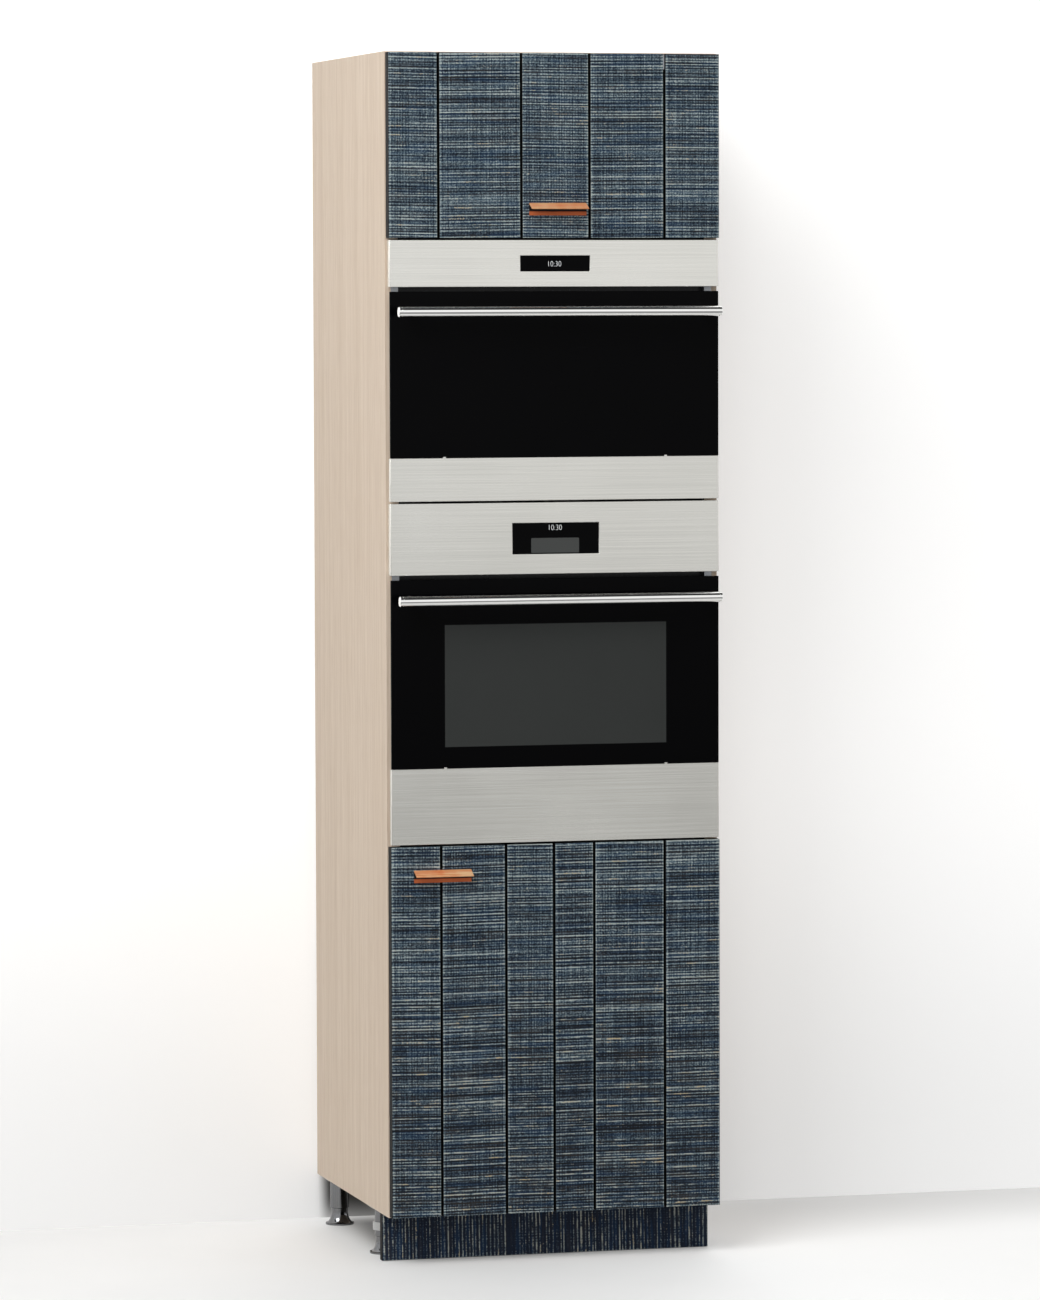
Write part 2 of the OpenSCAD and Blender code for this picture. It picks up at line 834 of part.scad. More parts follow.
// Folded sheets: a base, a cover, a back with vents, and sides with a fixing flange
module oven_casing(o) {
    z0 = o[4];
    z1 = o[5] - casing_top_gap;
    t = casing_t;
    seam = fit;
    sheet_start = plate_depth + plate_t + seam;
    vent_rows = 6;
    color(zinc) {
        wide_box(casing_half - t - seam, sheet_start, casing_depth - t - seam, z0, z0 + t);
        wide_box(casing_half - t - seam, sheet_start, casing_depth - t - seam, z1 - t, z1);
        both_sides() {
            box(casing_half - t, casing_half, -flange_stand - t, casing_depth, z0, z1);
            box(casing_half, casing_half + flange_w, -flange_stand - t, -flange_stand, z0 + 2, z1);
        }
        difference() {
            wide_box(casing_half - t - seam, casing_depth - t, casing_depth, z0, z1);
            for (i = [0:vent_rows - 1])
                both_sides()
                    box(60, casing_half - 60, casing_depth - 2 * t, casing_depth + t,
                        z1 - 40 - i * 14, z1 - 34 - i * 14);
        }
    }
}

// The enamelled cavity and the sheet that carries it at the front
module oven_cavity(o) {
    m = mouth_z(o);
    w = 2 * mouth_half_w;
    color(enamel) difference() {
        union() {
            wide_box(casing_half - casing_t - fit, plate_depth, plate_depth + plate_t,
                     o[4] + fit, o[5] - casing_top_gap - fit);
            rounded_block(w + 2 * cavity_t, m[0] - cavity_t, m[1] + cavity_t, mouth_r + cavity_t,
                          plate_depth, cavity_depth);
        }
        rounded_block(w, m[0], m[1], mouth_r, plate_depth - cut, cavity_depth - cavity_t);
    }
}

// A steel tray, open at the back: the front sheet with returned edges
module front_tray(z0, z1, depth) {
    difference() {
        wide_box(front_half, face, face + depth, z0, z1);
        wide_box(front_half - tray_t, face + tray_t, face + depth + cut, z0 + tray_t, z1 - tray_t);
    }
}

function panel_z(o) = [o[0] + o[1] - o[2], o[0] + o[1]];

// The control panel: a tray with a window for the display and two brackets to the casing
module oven_fascia(o, display, display_up) {
    p = panel_z(o);
    z = p[0] + display_up;
    mid = (p[0] + p[1]) / 2;
    color(steel) {
        difference() {
            front_tray(p[0], p[1], fascia_depth);
            wide_box(display[0] / 2 + fit, face - cut, face + tray_t + cut, z - fit, z + display[1] + fit);
        }
        both_sides()
            box(frame_half - 14, frame_half, face + tray_t - fit, plate_depth, mid - 15, mid + 15);
    }
}

module oven_display(o, display, display_up) {
    z = panel_z(o)[0] + display_up;
    color(dark_glass) wide_box(display[0] / 2, face + 0.2, face + 6, z, z + display[1]);
}

function hinge_arm_x() = frame_half - frame_rail - hinge_arm_gap - hinge_arm_t;

// Hinge arms on the casing, with the pins that the door turns on. They crank up from the
// pins, so that the door's bottom edge can swing through under them.
module oven_hinges(o) {
    axis_z = o[0] + oven_axis_up;
    x = hinge_arm_x();
    reach = plate_depth - oven_axis_depth;
    flange_up = 40;
    pin_len = hinge_arm_t + hinge_arm_gap + 14;
    color(zinc) both_sides() {
        translate([x, front_y + oven_axis_depth, axis_z]) rotate([90, 0, 90])
            linear_extrude(hinge_arm_t) union() {
                circle(r = oven_eye_r);
                polygon([[-2.4, 2.4], [2.4, -2.4], [9, 5.2], [reach, 5.2], [reach, flange_up],
                         [reach - 3, flange_up], [reach - 3, 12], [6, 12]]);
            }
        rod_x(x + 1, x + pin_len, front_y + oven_axis_depth, axis_z, oven_pin_d);
    }
}

// The door's inner frame: a pressed channel, open towards the glass, whose posts end in
// solid feet that turn on the hinge pins
module oven_door_frame(o) {
    axis_z = o[0] + oven_axis_up;
    top = oven_door_top(o) - 4;
    front = face + skin_t;
    foot_back = oven_axis_depth + 9;
    rail_z0 = o[0] + 26;
    rail_z1 = strip_top(o) + 6;
    top_rail_z = top - frame_rail + 4;
    post_x = frame_half - frame_rail;
    t = tray_t;
    color(enamel) difference() {
        union() {
            both_sides()
                translate([post_x, front_y, 0]) rotate([90, 0, 90])
                    linear_extrude(frame_rail)
                        polygon([[front, o[0] + 3], [foot_back, o[0] + 3], [foot_back, axis_z + 1.5],
                                 [frame_back, axis_z + 1.5], [frame_back, top], [front, top]]);
            wide_box(frame_half - 2, front, frame_back, rail_z0, rail_z1);
            wide_box(frame_half - 2, front, frame_back, top_rail_z, top);
        }
        both_sides() {
            box(post_x + t, frame_half - t, front - cut, frame_back - t, rail_z0 + t, top - t);
            rod_x(post_x - cut, post_x + 17, front_y + oven_axis_depth, axis_z,
                  oven_pin_d + 2 * pin_clear);
        }
        wide_box(frame_half - 2 * t, front - cut, frame_back - t, rail_z0 + t, rail_z1 - t);
        wide_box(frame_half - 2 * t, front - cut, frame_back - t, top_rail_z + t, top - t);
    }
}

module oven_door_glass(o) {
    color(dark_glass) wide_box(front_half, face, face + skin_t, strip_top(o) + fit / 2, oven_door_top(o));
}

// The steel strip: a thick front with returned sides and bottom
module oven_door_strip(o) {
    z0 = o[0];
    z1 = strip_top(o) - fit / 2;
    color(steel) difference() {
        wide_box(front_half, face, face + tray_depth, z0, z1);
        wide_box(front_half - tray_t, face + skin_t, face + tray_depth + cut, z0 + tray_t, z1 + cut);
    }
}

module oven_inner_glass(o) {
    color([0.35, 0.38, 0.40, 0.6])
        wide_box(frame_half - frame_rail - fit, frame_back - inner_glass_t, frame_back,
                 strip_top(o) + 6 + fit, oven_door_top(o) - frame_rail - fit);
}

// A round bar with turned end caps, on two posts with round feet
module oven_handle(o) {
    z = bar_z(o);
    half = bar_len / 2;
    r = bar_d / 2;
    cap = 5;
    color(steel) {
        translate([-half, front_y + bar_depth, z]) rotate([0, 90, 0]) rotate_extrude()
            polygon([[0, 0], [r - 1, 0], [r, 1], [r, cap], [r - 0.5, cap], [r - 0.5, cap + 0.8],
                     [r, cap + 0.8], [r, bar_len - cap - 0.8], [r - 0.5, bar_len - cap - 0.8],
                     [r - 0.5, bar_len - cap], [r, bar_len - cap], [r, bar_len - 1],
                     [r - 1, bar_len], [0, bar_len]]);
        both_sides()
            translate([half - post_inset, front_y + face, z]) rotate([90, 0, 0]) rotate_extrude()
                polygon([[0, 0], [post_d / 2 + 2.5, 0], [post_d / 2 + 2.5, 1.5],
                         [post_d / 2, 4], [post_d / 2, bar_stand], [0, bar_stand]]);
    }
}

// ---- Inside the ovens ----

module oven_seals() {
    seal_w = 7;
    color(black_board)
        for (o = [upper_oven, lower_oven]) {
            m = mouth_z(o);
            difference() {
                rounded_block(2 * (mouth_half_w + seal_w), m[0] - seal_w, m[1] + seal_w,
                              mouth_r + seal_w, frame_back + 0.3, plate_depth);
                rounded_block(2 * mouth_half_w + 2, m[0] - 1, m[1] + 1,
                              mouth_r + 1, frame_back - cut, plate_depth + cut);
            }
        }
}

// Wire ladders on the cavity's side walls: two uprights and rungs in pairs
module rack_ladders() {
    d0 = plate_depth + 24;
    d1 = cavity_depth - 40;
    color(bright)
        for (o = [upper_oven, lower_oven]) {
            m = mouth_z(o);
            rungs = floor((m[1] - m[0] - rack_up - rung_headroom) / rung_pitch);
            both_sides() {
                for (d = [d0, d1])
                    rod_z(ladder_x + ladder_d / 2 - 0.2, d, m[0] + mouth_r, m[1] - mouth_r, ladder_d);
                for (i = [0:rungs])
                    rod_y(ladder_x - ladder_d / 2, d0 - 8, d1 + 8,
                          m[0] + rack_up + i * rung_pitch, ladder_d);
            }
        }
}

// A wire rack: a heavy rim and thin bars across it, laid on the lowest rungs
module oven_racks() {
    bars = 13;
    d0 = plate_depth + 20;
    d1 = d0 + rack_depth;
    half = ladder_x - ladder_d / 2 - 1;
    color(bright)
        for (o = [upper_oven, lower_oven]) {
            z = mouth_z(o)[0] + rack_up + ladder_d / 2 + rack_d / 2 + 0.1;
            both_sides() rod_y(half, d0, d1, z, rack_d);
            for (d = [d0, d1])
                rod_x(-half, half, front_y + d, z, rack_d);
            for (i = [1:bars])
                rod_y(-half + 2 * half * i / (bars + 1), d0, d1, z + 1, 3);
        }
}

// A pressed dish over the fan, with a ring of air holes
module fan_covers() {
    dish_r = 78;
    dish_h = 14;
    color(enamel)
        for (o = [upper_oven, lower_oven]) {
            m = mouth_z(o);
            translate([0, front_y + cavity_depth - cavity_t - 0.1, (m[0] + m[1]) / 2])
                rotate([90, 0, 0]) difference() {
                    rotate_extrude() polygon([
                        [0, dish_h - 1.2], [dish_r - 12, dish_h - 1.2], [dish_r - 2, 0], [dish_r, 0],
                        [dish_r, 1], [dish_r - 11.5, dish_h], [0, dish_h]]);
                    for (a = [0:30:330])
                        rotate(a) translate([dish_r - 34, 0, 0]) cylinder(h = dish_h + cut, d = 10);
                    for (a = [0:60:300])
                        rotate(a) translate([dish_r - 58, 0, 0]) cylinder(h = dish_h + cut, d = 8);
                }
        }
}

// The grill element: one tube bent into a long loop under the cavity's ceiling
module grill_elements() {
    loop_half = 150;
    bend_r = 26;
    d0 = plate_depth + 60;
    d1 = cavity_depth - cavity_t - 0.2;
    color([0.45, 0.43, 0.42])
        for (o = [upper_oven, lower_oven]) {
            z = mouth_z(o)[1] - element_down;
            both_sides() {
                rod_y(loop_half, d0 + bend_r, d1, z, element_d);
                translate([loop_half - bend_r, front_y + d0 + bend_r, z]) rotate([0, 0, 270])
                    rotate_extrude(angle = 90) translate([bend_r, 0]) circle(d = element_d, $fn = 24);
            }
            rod_x(-loop_half + bend_r, loop_half - bend_r, front_y + d0, z, element_d);
        }
}

// Where the supply enters: a box on each casing's back, with a gland in its underside
module terminal_boxes() {
    box_w = 84;
    box_h = 46;
    box_d = 10;
    box_up = 70;   // board under the oven to the box
    box_in = 70;   // side of the casing to the box
    color(black_board)
        for (o = [upper_oven, lower_oven]) {
            z = o[4] + box_up;
            x = casing_half - box_in;
            difference() {
                box(x - box_w, x, casing_depth + 0.1, casing_depth + box_d, z, z + box_h);
                rod_z(x - 24, casing_depth + box_d / 2, z - cut, z + 14, 7);
            }
        }
}

compact_display_up = 27;
full_display_up = 35;

module upper_oven_casing() { oven_casing(upper_oven); }
module upper_oven_cavity() { oven_cavity(upper_oven); }
module upper_oven_fascia() { oven_fascia(upper_oven, compact_display, compact_display_up); }
module upper_oven_display() { oven_display(upper_oven, compact_display, compact_display_up); }
module upper_oven_hinges() { oven_hinges(upper_oven); }
module upper_oven_door_frame() { oven_door_frame(upper_oven); }
module upper_oven_door_glass() { oven_door_glass(upper_oven); }
module upper_oven_door_strip() { oven_door_strip(upper_oven); }
module upper_oven_inner_glass() { oven_inner_glass(upper_oven); }
module upper_oven_handle() { oven_handle(upper_oven); }
module lower_oven_casing() { oven_casing(lower_oven); }
module lower_oven_cavity() { oven_cavity(lower_oven); }
module lower_oven_fascia() { oven_fascia(lower_oven, full_display, full_display_up); }
module lower_oven_display() { oven_display(lower_oven, full_display, full_display_up); }
module lower_oven_hinges() { oven_hinges(lower_oven); }
module lower_oven_door_frame() { oven_door_frame(lower_oven); }
module lower_oven_door_glass() { oven_door_glass(lower_oven); }
module lower_oven_door_strip() { oven_door_strip(lower_oven); }
module lower_oven_inner_glass() { oven_inner_glass(lower_oven); }
module lower_oven_handle() { oven_handle(lower_oven); }

side_panel_left();
side_panel_right();
top_panel();
bottom_panel();
oven_shelf();
middle_shelf();
compartment_shelf();
adjustable_shelf();
shelf_pins();
back_panels();
fixing_rails();
dowels();
cam_locks();
plinth_board();
plinth_clips();
legs();
foot_front_left();
foot_front_right();
foot_rear_left();
foot_rear_right();
flap_board();
flap_planks();
flap_handle();
flap_hinge_leaves();
flap_hinge_arms();
strut_cylinders();
strut_rods();
strut_cabinet_brackets();
strut_flap_brackets();
lower_door_board();
lower_door_planks();
lower_door_handle();
lower_door_hinge_leaves();
lower_door_hinge_arms();
upper_oven_casing();
upper_oven_cavity();
upper_oven_fascia();
upper_oven_display();
upper_oven_hinges();
upper_oven_door_frame();
upper_oven_door_glass();
upper_oven_door_strip();
upper_oven_inner_glass();
upper_oven_handle();
lower_oven_casing();
lower_oven_cavity();
lower_oven_fascia();
lower_oven_display();
lower_oven_hinges();
lower_oven_door_frame();
lower_oven_door_glass();
lower_oven_door_strip();
lower_oven_inner_glass();
lower_oven_handle();
oven_seals();
rack_ladders();
oven_racks();
fan_covers();
grill_elements();
terminal_boxes();
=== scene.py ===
# %% [markdown]
# # Dressing a tall oven housing
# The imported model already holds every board, hinge and oven part of the unit at its real size.
# This lesson keeps that skeleton and gives each part the finish it has in a showroom: rough-sawn
# planks under a blue wash, pale oak board, brushed steel, black glass and folded copper.
# Lengths are in metres, +Z is up and the fronts face -Y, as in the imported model.

import bmesh
import bpy
import json
import math
from mathutils import Euler, Matrix, Vector, noise


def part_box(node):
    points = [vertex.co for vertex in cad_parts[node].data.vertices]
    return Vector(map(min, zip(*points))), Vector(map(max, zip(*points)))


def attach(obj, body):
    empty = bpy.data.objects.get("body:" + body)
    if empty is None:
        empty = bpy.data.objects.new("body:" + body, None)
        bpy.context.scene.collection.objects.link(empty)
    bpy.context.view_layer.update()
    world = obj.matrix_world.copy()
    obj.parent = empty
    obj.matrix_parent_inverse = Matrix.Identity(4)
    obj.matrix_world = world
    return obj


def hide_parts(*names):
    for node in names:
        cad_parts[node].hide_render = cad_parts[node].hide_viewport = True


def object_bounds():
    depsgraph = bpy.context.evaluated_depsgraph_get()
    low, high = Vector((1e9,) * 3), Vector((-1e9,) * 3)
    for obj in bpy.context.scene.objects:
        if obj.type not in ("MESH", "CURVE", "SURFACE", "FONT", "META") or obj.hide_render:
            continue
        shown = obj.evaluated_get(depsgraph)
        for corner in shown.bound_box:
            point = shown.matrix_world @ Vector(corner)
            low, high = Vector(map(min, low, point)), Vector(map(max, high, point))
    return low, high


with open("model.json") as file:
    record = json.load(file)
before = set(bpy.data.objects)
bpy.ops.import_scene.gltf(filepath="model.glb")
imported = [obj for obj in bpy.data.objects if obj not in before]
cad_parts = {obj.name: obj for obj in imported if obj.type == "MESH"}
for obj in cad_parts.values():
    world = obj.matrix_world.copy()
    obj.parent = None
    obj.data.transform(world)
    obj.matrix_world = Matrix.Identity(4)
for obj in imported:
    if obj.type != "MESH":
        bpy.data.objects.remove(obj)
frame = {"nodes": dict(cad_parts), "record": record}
cad_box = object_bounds()
MM = 0.001
unit_low, unit_high = (Vector(corner) for corner in cad_box)
print("the unit is", [round(v, 3) for v in unit_high - unit_low], "m")

# %% [markdown]
# ## The camera
# The photograph was taken from far away with a long lens, a little to the left and just above
# the oven door. A distant camera keeps the cabinet's uprights nearly parallel. Its place and
# turn were found by fitting the real sizes of the unit to its edges in the picture.

# %% Camera
lens = bpy.data.cameras.new("showroom_camera")
lens.lens = 168.88
lens.sensor_width = 36
camera = bpy.data.objects.new("showroom_camera", lens)
camera.location = (-2.7776, -10.5551, 1.7030)
camera.rotation_euler = Euler([math.radians(a) for a in (86.640, 0.158, -14.778)])
bpy.context.scene.collection.objects.link(camera)
bpy.context.scene.camera = camera
print("camera is", round(camera.location.length, 2), "m from the floor under the unit")

# %% [markdown]
# ## Shader sums as Python
# A finish is a sum of small patterns, and a long chain of Math nodes is hard to read. So one
# class wraps a socket and overloads plus, minus and times, and a second one, the finish itself,
# makes every other node. After that a mask can be written the way it would be said.

# %% A socket that can be added and multiplied
class Value:
    def __init__(self, finish, socket):
        self.finish, self.socket = finish, socket

    def _math(self, operation, first, second):
        return self.finish.node("ShaderNodeMath", {"operation": operation}, {0: first, 1: second})

    def __add__(self, other): return self._math("ADD", self, other)
    def __radd__(self, other): return self._math("ADD", other, self)
    def __sub__(self, other): return self._math("SUBTRACT", self, other)
    def __rsub__(self, other): return self._math("SUBTRACT", other, self)
    def __mul__(self, other): return self._math("MULTIPLY", self, other)
    def __rmul__(self, other): return self._math("MULTIPLY", other, self)


def paint(red, green, blue):
    """A colour as the eye reads it, 0 to 255, turned into the linear numbers shaders use."""
    linear = [(v / 255 / 12.92) if v <= 10 else ((v / 255 + 0.055) / 1.055) ** 2.4
              for v in (red, green, blue)]
    return (*linear, 1.0)


print("a mid grey of 128 is", round(paint(128, 128, 128)[0], 3), "in a shader")

# %% A finish under construction
class Finish:
    def __init__(self, name, **fixed):
        self.material = bpy.data.materials.new(name)
        self.material.use_nodes = True
        self.tree = self.material.node_tree
        self.shader = self.tree.nodes["Principled BSDF"]
        self.place = self.node("ShaderNodeTexCoord", out="Object")
        for socket, value in fixed.items():
            self.set(socket.replace("_", " "), value)

    def node(self, kind, settings=None, inputs=None, out=0):
        made = self.tree.nodes.new(kind)
        for name, value in (settings or {}).items():
            if name == "stops":
                while len(made.color_ramp.elements) < len(value):
                    made.color_ramp.elements.new(0.5)
                for stop, (at, colour) in zip(made.color_ramp.elements, value):
                    stop.position, stop.color = at, colour
            else:
                setattr(made, name, value)
        for key, value in (inputs or {}).items():
            self.feed(made.inputs[key], value)
        return Value(self, made.outputs[out])

    def feed(self, socket, value):
        if isinstance(value, Value):
            self.tree.links.new(value.socket, socket)
        else:
            socket.default_value = value

    def set(self, socket, value):
        self.feed(self.shader.inputs[socket], value)

    def noise(self, per_metre, detail=2.0, rough=0.5, shift=(0, 0, 0)):
        """Cloudy noise with a feature size of its own along each axis."""
        spot = self.node("ShaderNodeMapping", inputs={
            "Vector": self.place, "Location": shift, "Scale": per_metre})
        return self.node("ShaderNodeTexNoise", inputs={
            "Vector": spot, "Scale": 1.0, "Detail": detail, "Roughness": rough})

    def fade(self, value, low, high):
        """0 below low, 1 above high, and smooth between."""
        return self.node("ShaderNodeMapRange", {"interpolation_type": "SMOOTHSTEP"},
                         {"Value": value, "From Min": low, "From Max": high})

    def blend(self, mask, under, over):
        """One colour over another, by the mask."""
        return self.node("ShaderNodeMix", {"data_type": "RGBA"}, {0: mask, 6: under, 7: over}, 2)

    def axis(self, name):
        return self.node("ShaderNodeSeparateXYZ", inputs={"Vector": self.place}, out=name)

    def band(self, axis, rise, fall):
        """1 between two places along an axis, with a soft rise before and a soft fall after."""
        place = self.axis(axis)
        return self.fade(place, *rise) * (1 - self.fade(place, *fall))

    def attribute(self, name):
        return self.node("ShaderNodeAttribute", {"attribute_name": name}, out="Fac")

    def bump(self, height, depth, strength=1.0):
        self.set("Normal", self.node("ShaderNodeBump", inputs={
            "Height": height, "Distance": depth, "Strength": strength}))


finishes = {}
print("finishes start from Blender's Principled shader")

# %% [markdown]
# ## Floor, wall and light
# The unit stands against a white wall on a pale floor. A real wall would shut the light out of
# the unit's back, so this one only shows to the camera and to reflections, and only from its
# front. As it receives little light, it glows a little: more beside the unit, as painted light
# that lifts the unit's shadow there, and less low down, as painted shade. In the studio the white
# floor is a roll of paper that ends before the lamps do, and the dark beyond it draws the thin
# dark line along each chrome bar. So past the end of the roll the floor is there for the camera
# alone, and for the camera it glows more in front of the unit and to its right, as painted light.
# Floor and wall get a painted shadow, a darker colour, where the unit stands over them, and the
# wall no glow there; light from the left throws the real shadow beside the unit.

# %% Helpers for the stage
def add_mesh(name, shape, *finishes_used):
    """Turns a bmesh into an object at the origin, with its finishes."""
    mesh = bpy.data.meshes.new(name)
    shape.to_mesh(mesh)
    shape.free()
    for finish in finishes_used:
        mesh.materials.append(finish.material)
    made = bpy.data.objects.new(name, mesh)
    bpy.context.scene.collection.objects.link(made)
    return made


def stage_sheet(name, corners, finish):
    sheet = bmesh.new()
    sheet.faces.new([sheet.verts.new(corner) for corner in corners])
    return add_mesh(name, sheet, finish)


def rays(finish, *kinds):
    """1 for light that arrives by one of these kinds of ray."""
    each = [finish.node("ShaderNodeLightPath", out="Is " + kind + " Ray") for kind in kinds]
    return sum(each[1:], each[0])


def show_only(finish, mask):
    """Where mask is 0, light passes as if the sheet weren't there."""
    through = finish.node("ShaderNodeBsdfTransparent")
    lit = Value(finish, finish.shader.outputs[0])
    shown = finish.node("ShaderNodeMixShader", inputs={0: mask, 1: through, 2: lit})
    finish.tree.links.new(shown.socket, finish.tree.nodes["Material Output"].inputs["Surface"])


print("a stage sheet is one face, shown to chosen rays")

# %% Pale floor
paper_end, paper_edge = 1.7, 0.6
floor_share = 0.35
glow_behind, painted_light_front_right = 0.04, 0.14
floor_shade = 0.85

floor_finish = Finish("pale_floor", Roughness=0.75)
scuffs = floor_finish.noise((3, 3, 3), 4.0)
clean_floor = floor_finish.blend(scuffs, paint(224, 224, 223), paint(231, 231, 230))
# painted shadow: the floor is painted darker under the unit, where its shade falls
painted_shade_under_unit = (floor_finish.band("X", (-0.31, -0.20), (0.20, 0.31))
              * floor_finish.band("Y", (-0.18, -0.13), (0.24, 0.34)))
floor_finish.set("Base Color", floor_finish.blend(painted_shade_under_unit * floor_shade, clean_floor,
                                                  paint(70, 70, 70)))
# painted light: for the camera the floor glows more in front of the unit and to its right
to_the_right = floor_finish.fade(floor_finish.axis("X"), -0.5, 0.5)
in_front = 1 - floor_finish.fade(floor_finish.axis("Y"), -0.2, 0.3)
floor_finish.set("Emission Color", rays(floor_finish, "Camera")
                 * (glow_behind + painted_light_front_right * to_the_right * in_front))
floor_finish.set("Emission Strength", 1.0)
from_middle = floor_finish.node("ShaderNodeVectorMath", {"operation": "LENGTH"},
                                {0: floor_finish.place}, "Value")
paper = 1 - floor_finish.fade(from_middle, paper_end, paper_end + paper_edge)
mirrored = rays(floor_finish, "Glossy", "Transmission")
show_only(floor_finish, floor_finish.fade(
    rays(floor_finish, "Camera") + paper * (mirrored + floor_share), 0.0, 1.0))
print("the paper ends", paper_end, "m from the unit's middle")

# %% White wall
wall_glow, painted_light_beside, painted_shade_low_down = 0.335, 0.175, 0.145
wall_shade = 0.9

wall_finish = Finish("white_wall", Roughness=0.9, Emission_Strength=1.0)
# painted light: the wall glows more beside the unit, which lifts the unit's shadow there
beside = wall_finish.fade(wall_finish.axis("X"), 0.33, 0.60)
# painted shade: the wall glows less low down
low = 1 - wall_finish.fade(wall_finish.axis("Z"), 0.1, 0.9)
# painted shadow: the wall is painted darker, and gets no glow, under the unit between the legs
painted_shade_under_unit = (wall_finish.band("X", (-0.30, -0.27), (0.27, 0.29))
              * wall_finish.band("Z", (-0.05, 0.04), (0.088, 0.10)))
wall_finish.set("Emission Color",
                (wall_glow + painted_light_beside * beside - painted_shade_low_down * low) * (1 - painted_shade_under_unit))
plaster = wall_finish.noise((2, 2, 2), 4.0)
painted = wall_finish.blend(plaster, paint(242, 242, 241), paint(248, 248, 248))
wall_finish.set("Base Color", wall_finish.blend(painted_shade_under_unit * wall_shade, painted,
                                                paint(60, 60, 60)))
behind = wall_finish.node("ShaderNodeNewGeometry", out="Backfacing")
seen = rays(wall_finish, "Camera", "Glossy", "Transmission")
show_only(wall_finish, wall_finish.fade(seen, 0.4, 0.6) * (1 - behind))

wall_y = unit_high.y + 20 * MM
room = 9.0
floor = stage_sheet("floor", [(-room, -room, 0), (room, -room, 0), (room, room, 0),
                              (-room, room, 0)], floor_finish)
wall = stage_sheet("wall", [(-room, wall_y, 0), (room, wall_y, 0), (room, wall_y, room),
                            (-room, wall_y, room)], wall_finish)
print("wall stands", round(wall_y, 3), "m behind the middle of the unit")

# %% Lamps
def softbox(name, place, target, size, watts):
    light = bpy.data.lights.new(name, "AREA")
    light.size, light.energy = size, watts
    lamp = bpy.data.objects.new(name, light)
    lamp.location = place
    lamp.rotation_euler = (Vector(target) - Vector(place)).to_track_quat("-Z", "Y").to_euler()
    bpy.context.scene.collection.objects.link(lamp)
    return lamp


unit_middle = (0, 0, unit_high.z / 2)
softbox("key_from_the_left", (-3.0, -3.0, 4.4), unit_middle, size=3.4, watts=221)
softbox("fill_from_behind", (1.5, 4.5, 3.0), unit_middle, size=3.0, watts=60)
print("two softboxes light the unit, the larger from the left")

# %% [markdown]
# The sky stands for the studio round the stage: pale lit walls, a dark floor under the horizon,
# and a ceiling. Its light is soft and weak. Reflections see it brighter, under a nearly black
# ceiling, so that metal and glass have something dark to show, and the camera sees plain white.

# %% Sky
sky = bpy.data.worlds.new("studio")
bpy.context.scene.world = sky
sky.use_nodes = True
sky_nodes, sky_links = sky.node_tree.nodes, sky.node_tree.links


def sky_node(kind, **sockets):
    made = sky_nodes.new(kind)
    for name, value in sockets.items():
        made.inputs[name.replace("_", " ")].default_value = value
    return made


white = (1, 1, 1, 1)


def lit_room(walls, floor_light, ceiling):
    """Light by height: the floor's, then the walls', and over them a share of the walls'."""
    room_light = sky_node("ShaderNodeBackground", Color=white)
    floor_line = sky_node("ShaderNodeMapRange", From_Min=-0.14, From_Max=-0.02,
                          To_Min=floor_light, To_Max=walls)
    ceiling_line = sky_node("ShaderNodeMapRange", From_Min=0.62, From_Max=0.70,
                            To_Min=1.0, To_Max=ceiling)
    both = sky_nodes.new("ShaderNodeMath")
    both.operation = "MULTIPLY"
    for number, line in enumerate((floor_line, ceiling_line)):
        line.interpolation_type = "SMOOTHSTEP"
        sky_links.new(upwards.outputs["Z"], line.inputs["Value"])
        sky_links.new(line.outputs[0], both.inputs[number])
    sky_links.new(both.outputs[0], room_light.inputs["Strength"])
    return room_light


upwards = sky_nodes.new("ShaderNodeSeparateXYZ")
sky_links.new(sky_nodes.new("ShaderNodeTexCoord").outputs["Generated"], upwards.inputs[0])
print("the sky's light changes with height alone")

# %% What light, reflections and the camera see of the sky
shown = lit_room(walls=0.55, floor_light=0.1, ceiling=1.0)
reflected = lit_room(walls=1.0, floor_light=0.3, ceiling=0.04)
for kind, backdrop in (("Is Glossy Ray", reflected),
                       ("Is Camera Ray", sky_node("ShaderNodeBackground", Color=white))):
    switch = sky_nodes.new("ShaderNodeMixShader")
    sky_links.new(sky_nodes.new("ShaderNodeLightPath").outputs[kind], switch.inputs[0])
    sky_links.new(shown.outputs[0], switch.inputs[1])
    sky_links.new(backdrop.outputs[0], switch.inputs[2])
    shown = switch
sky_links.new(shown.outputs[0], sky_nodes["World Output"].inputs["Surface"])
bpy.context.scene.view_settings.view_transform = "Standard"
print("the sky has", len(sky_nodes), "nodes")

# %% [markdown]
# ## Blue-washed planks
# The fronts are sawn boards: the blade left fine ridges across the grain, a dark blue wash lies
# in the hollows, and the ridges are rubbed pale, with bare gold wood in places. The ridges are
# real relief here, because the light grazes them. The relief leaves its height, the plank's
# number and the nearness of an edge on its vertices, and the finish reads them back as colour.
# Near an edge the colour is lifted paler: a painted highlight where the eased edges catch the
# light, partly also rubbed wear. The fronts are darker and sparkle more low down. The plinth's
# board lies on its side, so its axes are swapped, and its wash is a deeper navy.

# %% Blue wash
bead_rate = 420
column_step = 4.9 * MM
mid_tone, low_dim, low_sparks, edge_highlight_and_wear = 0.41, 0.10, 0.12, 0.3


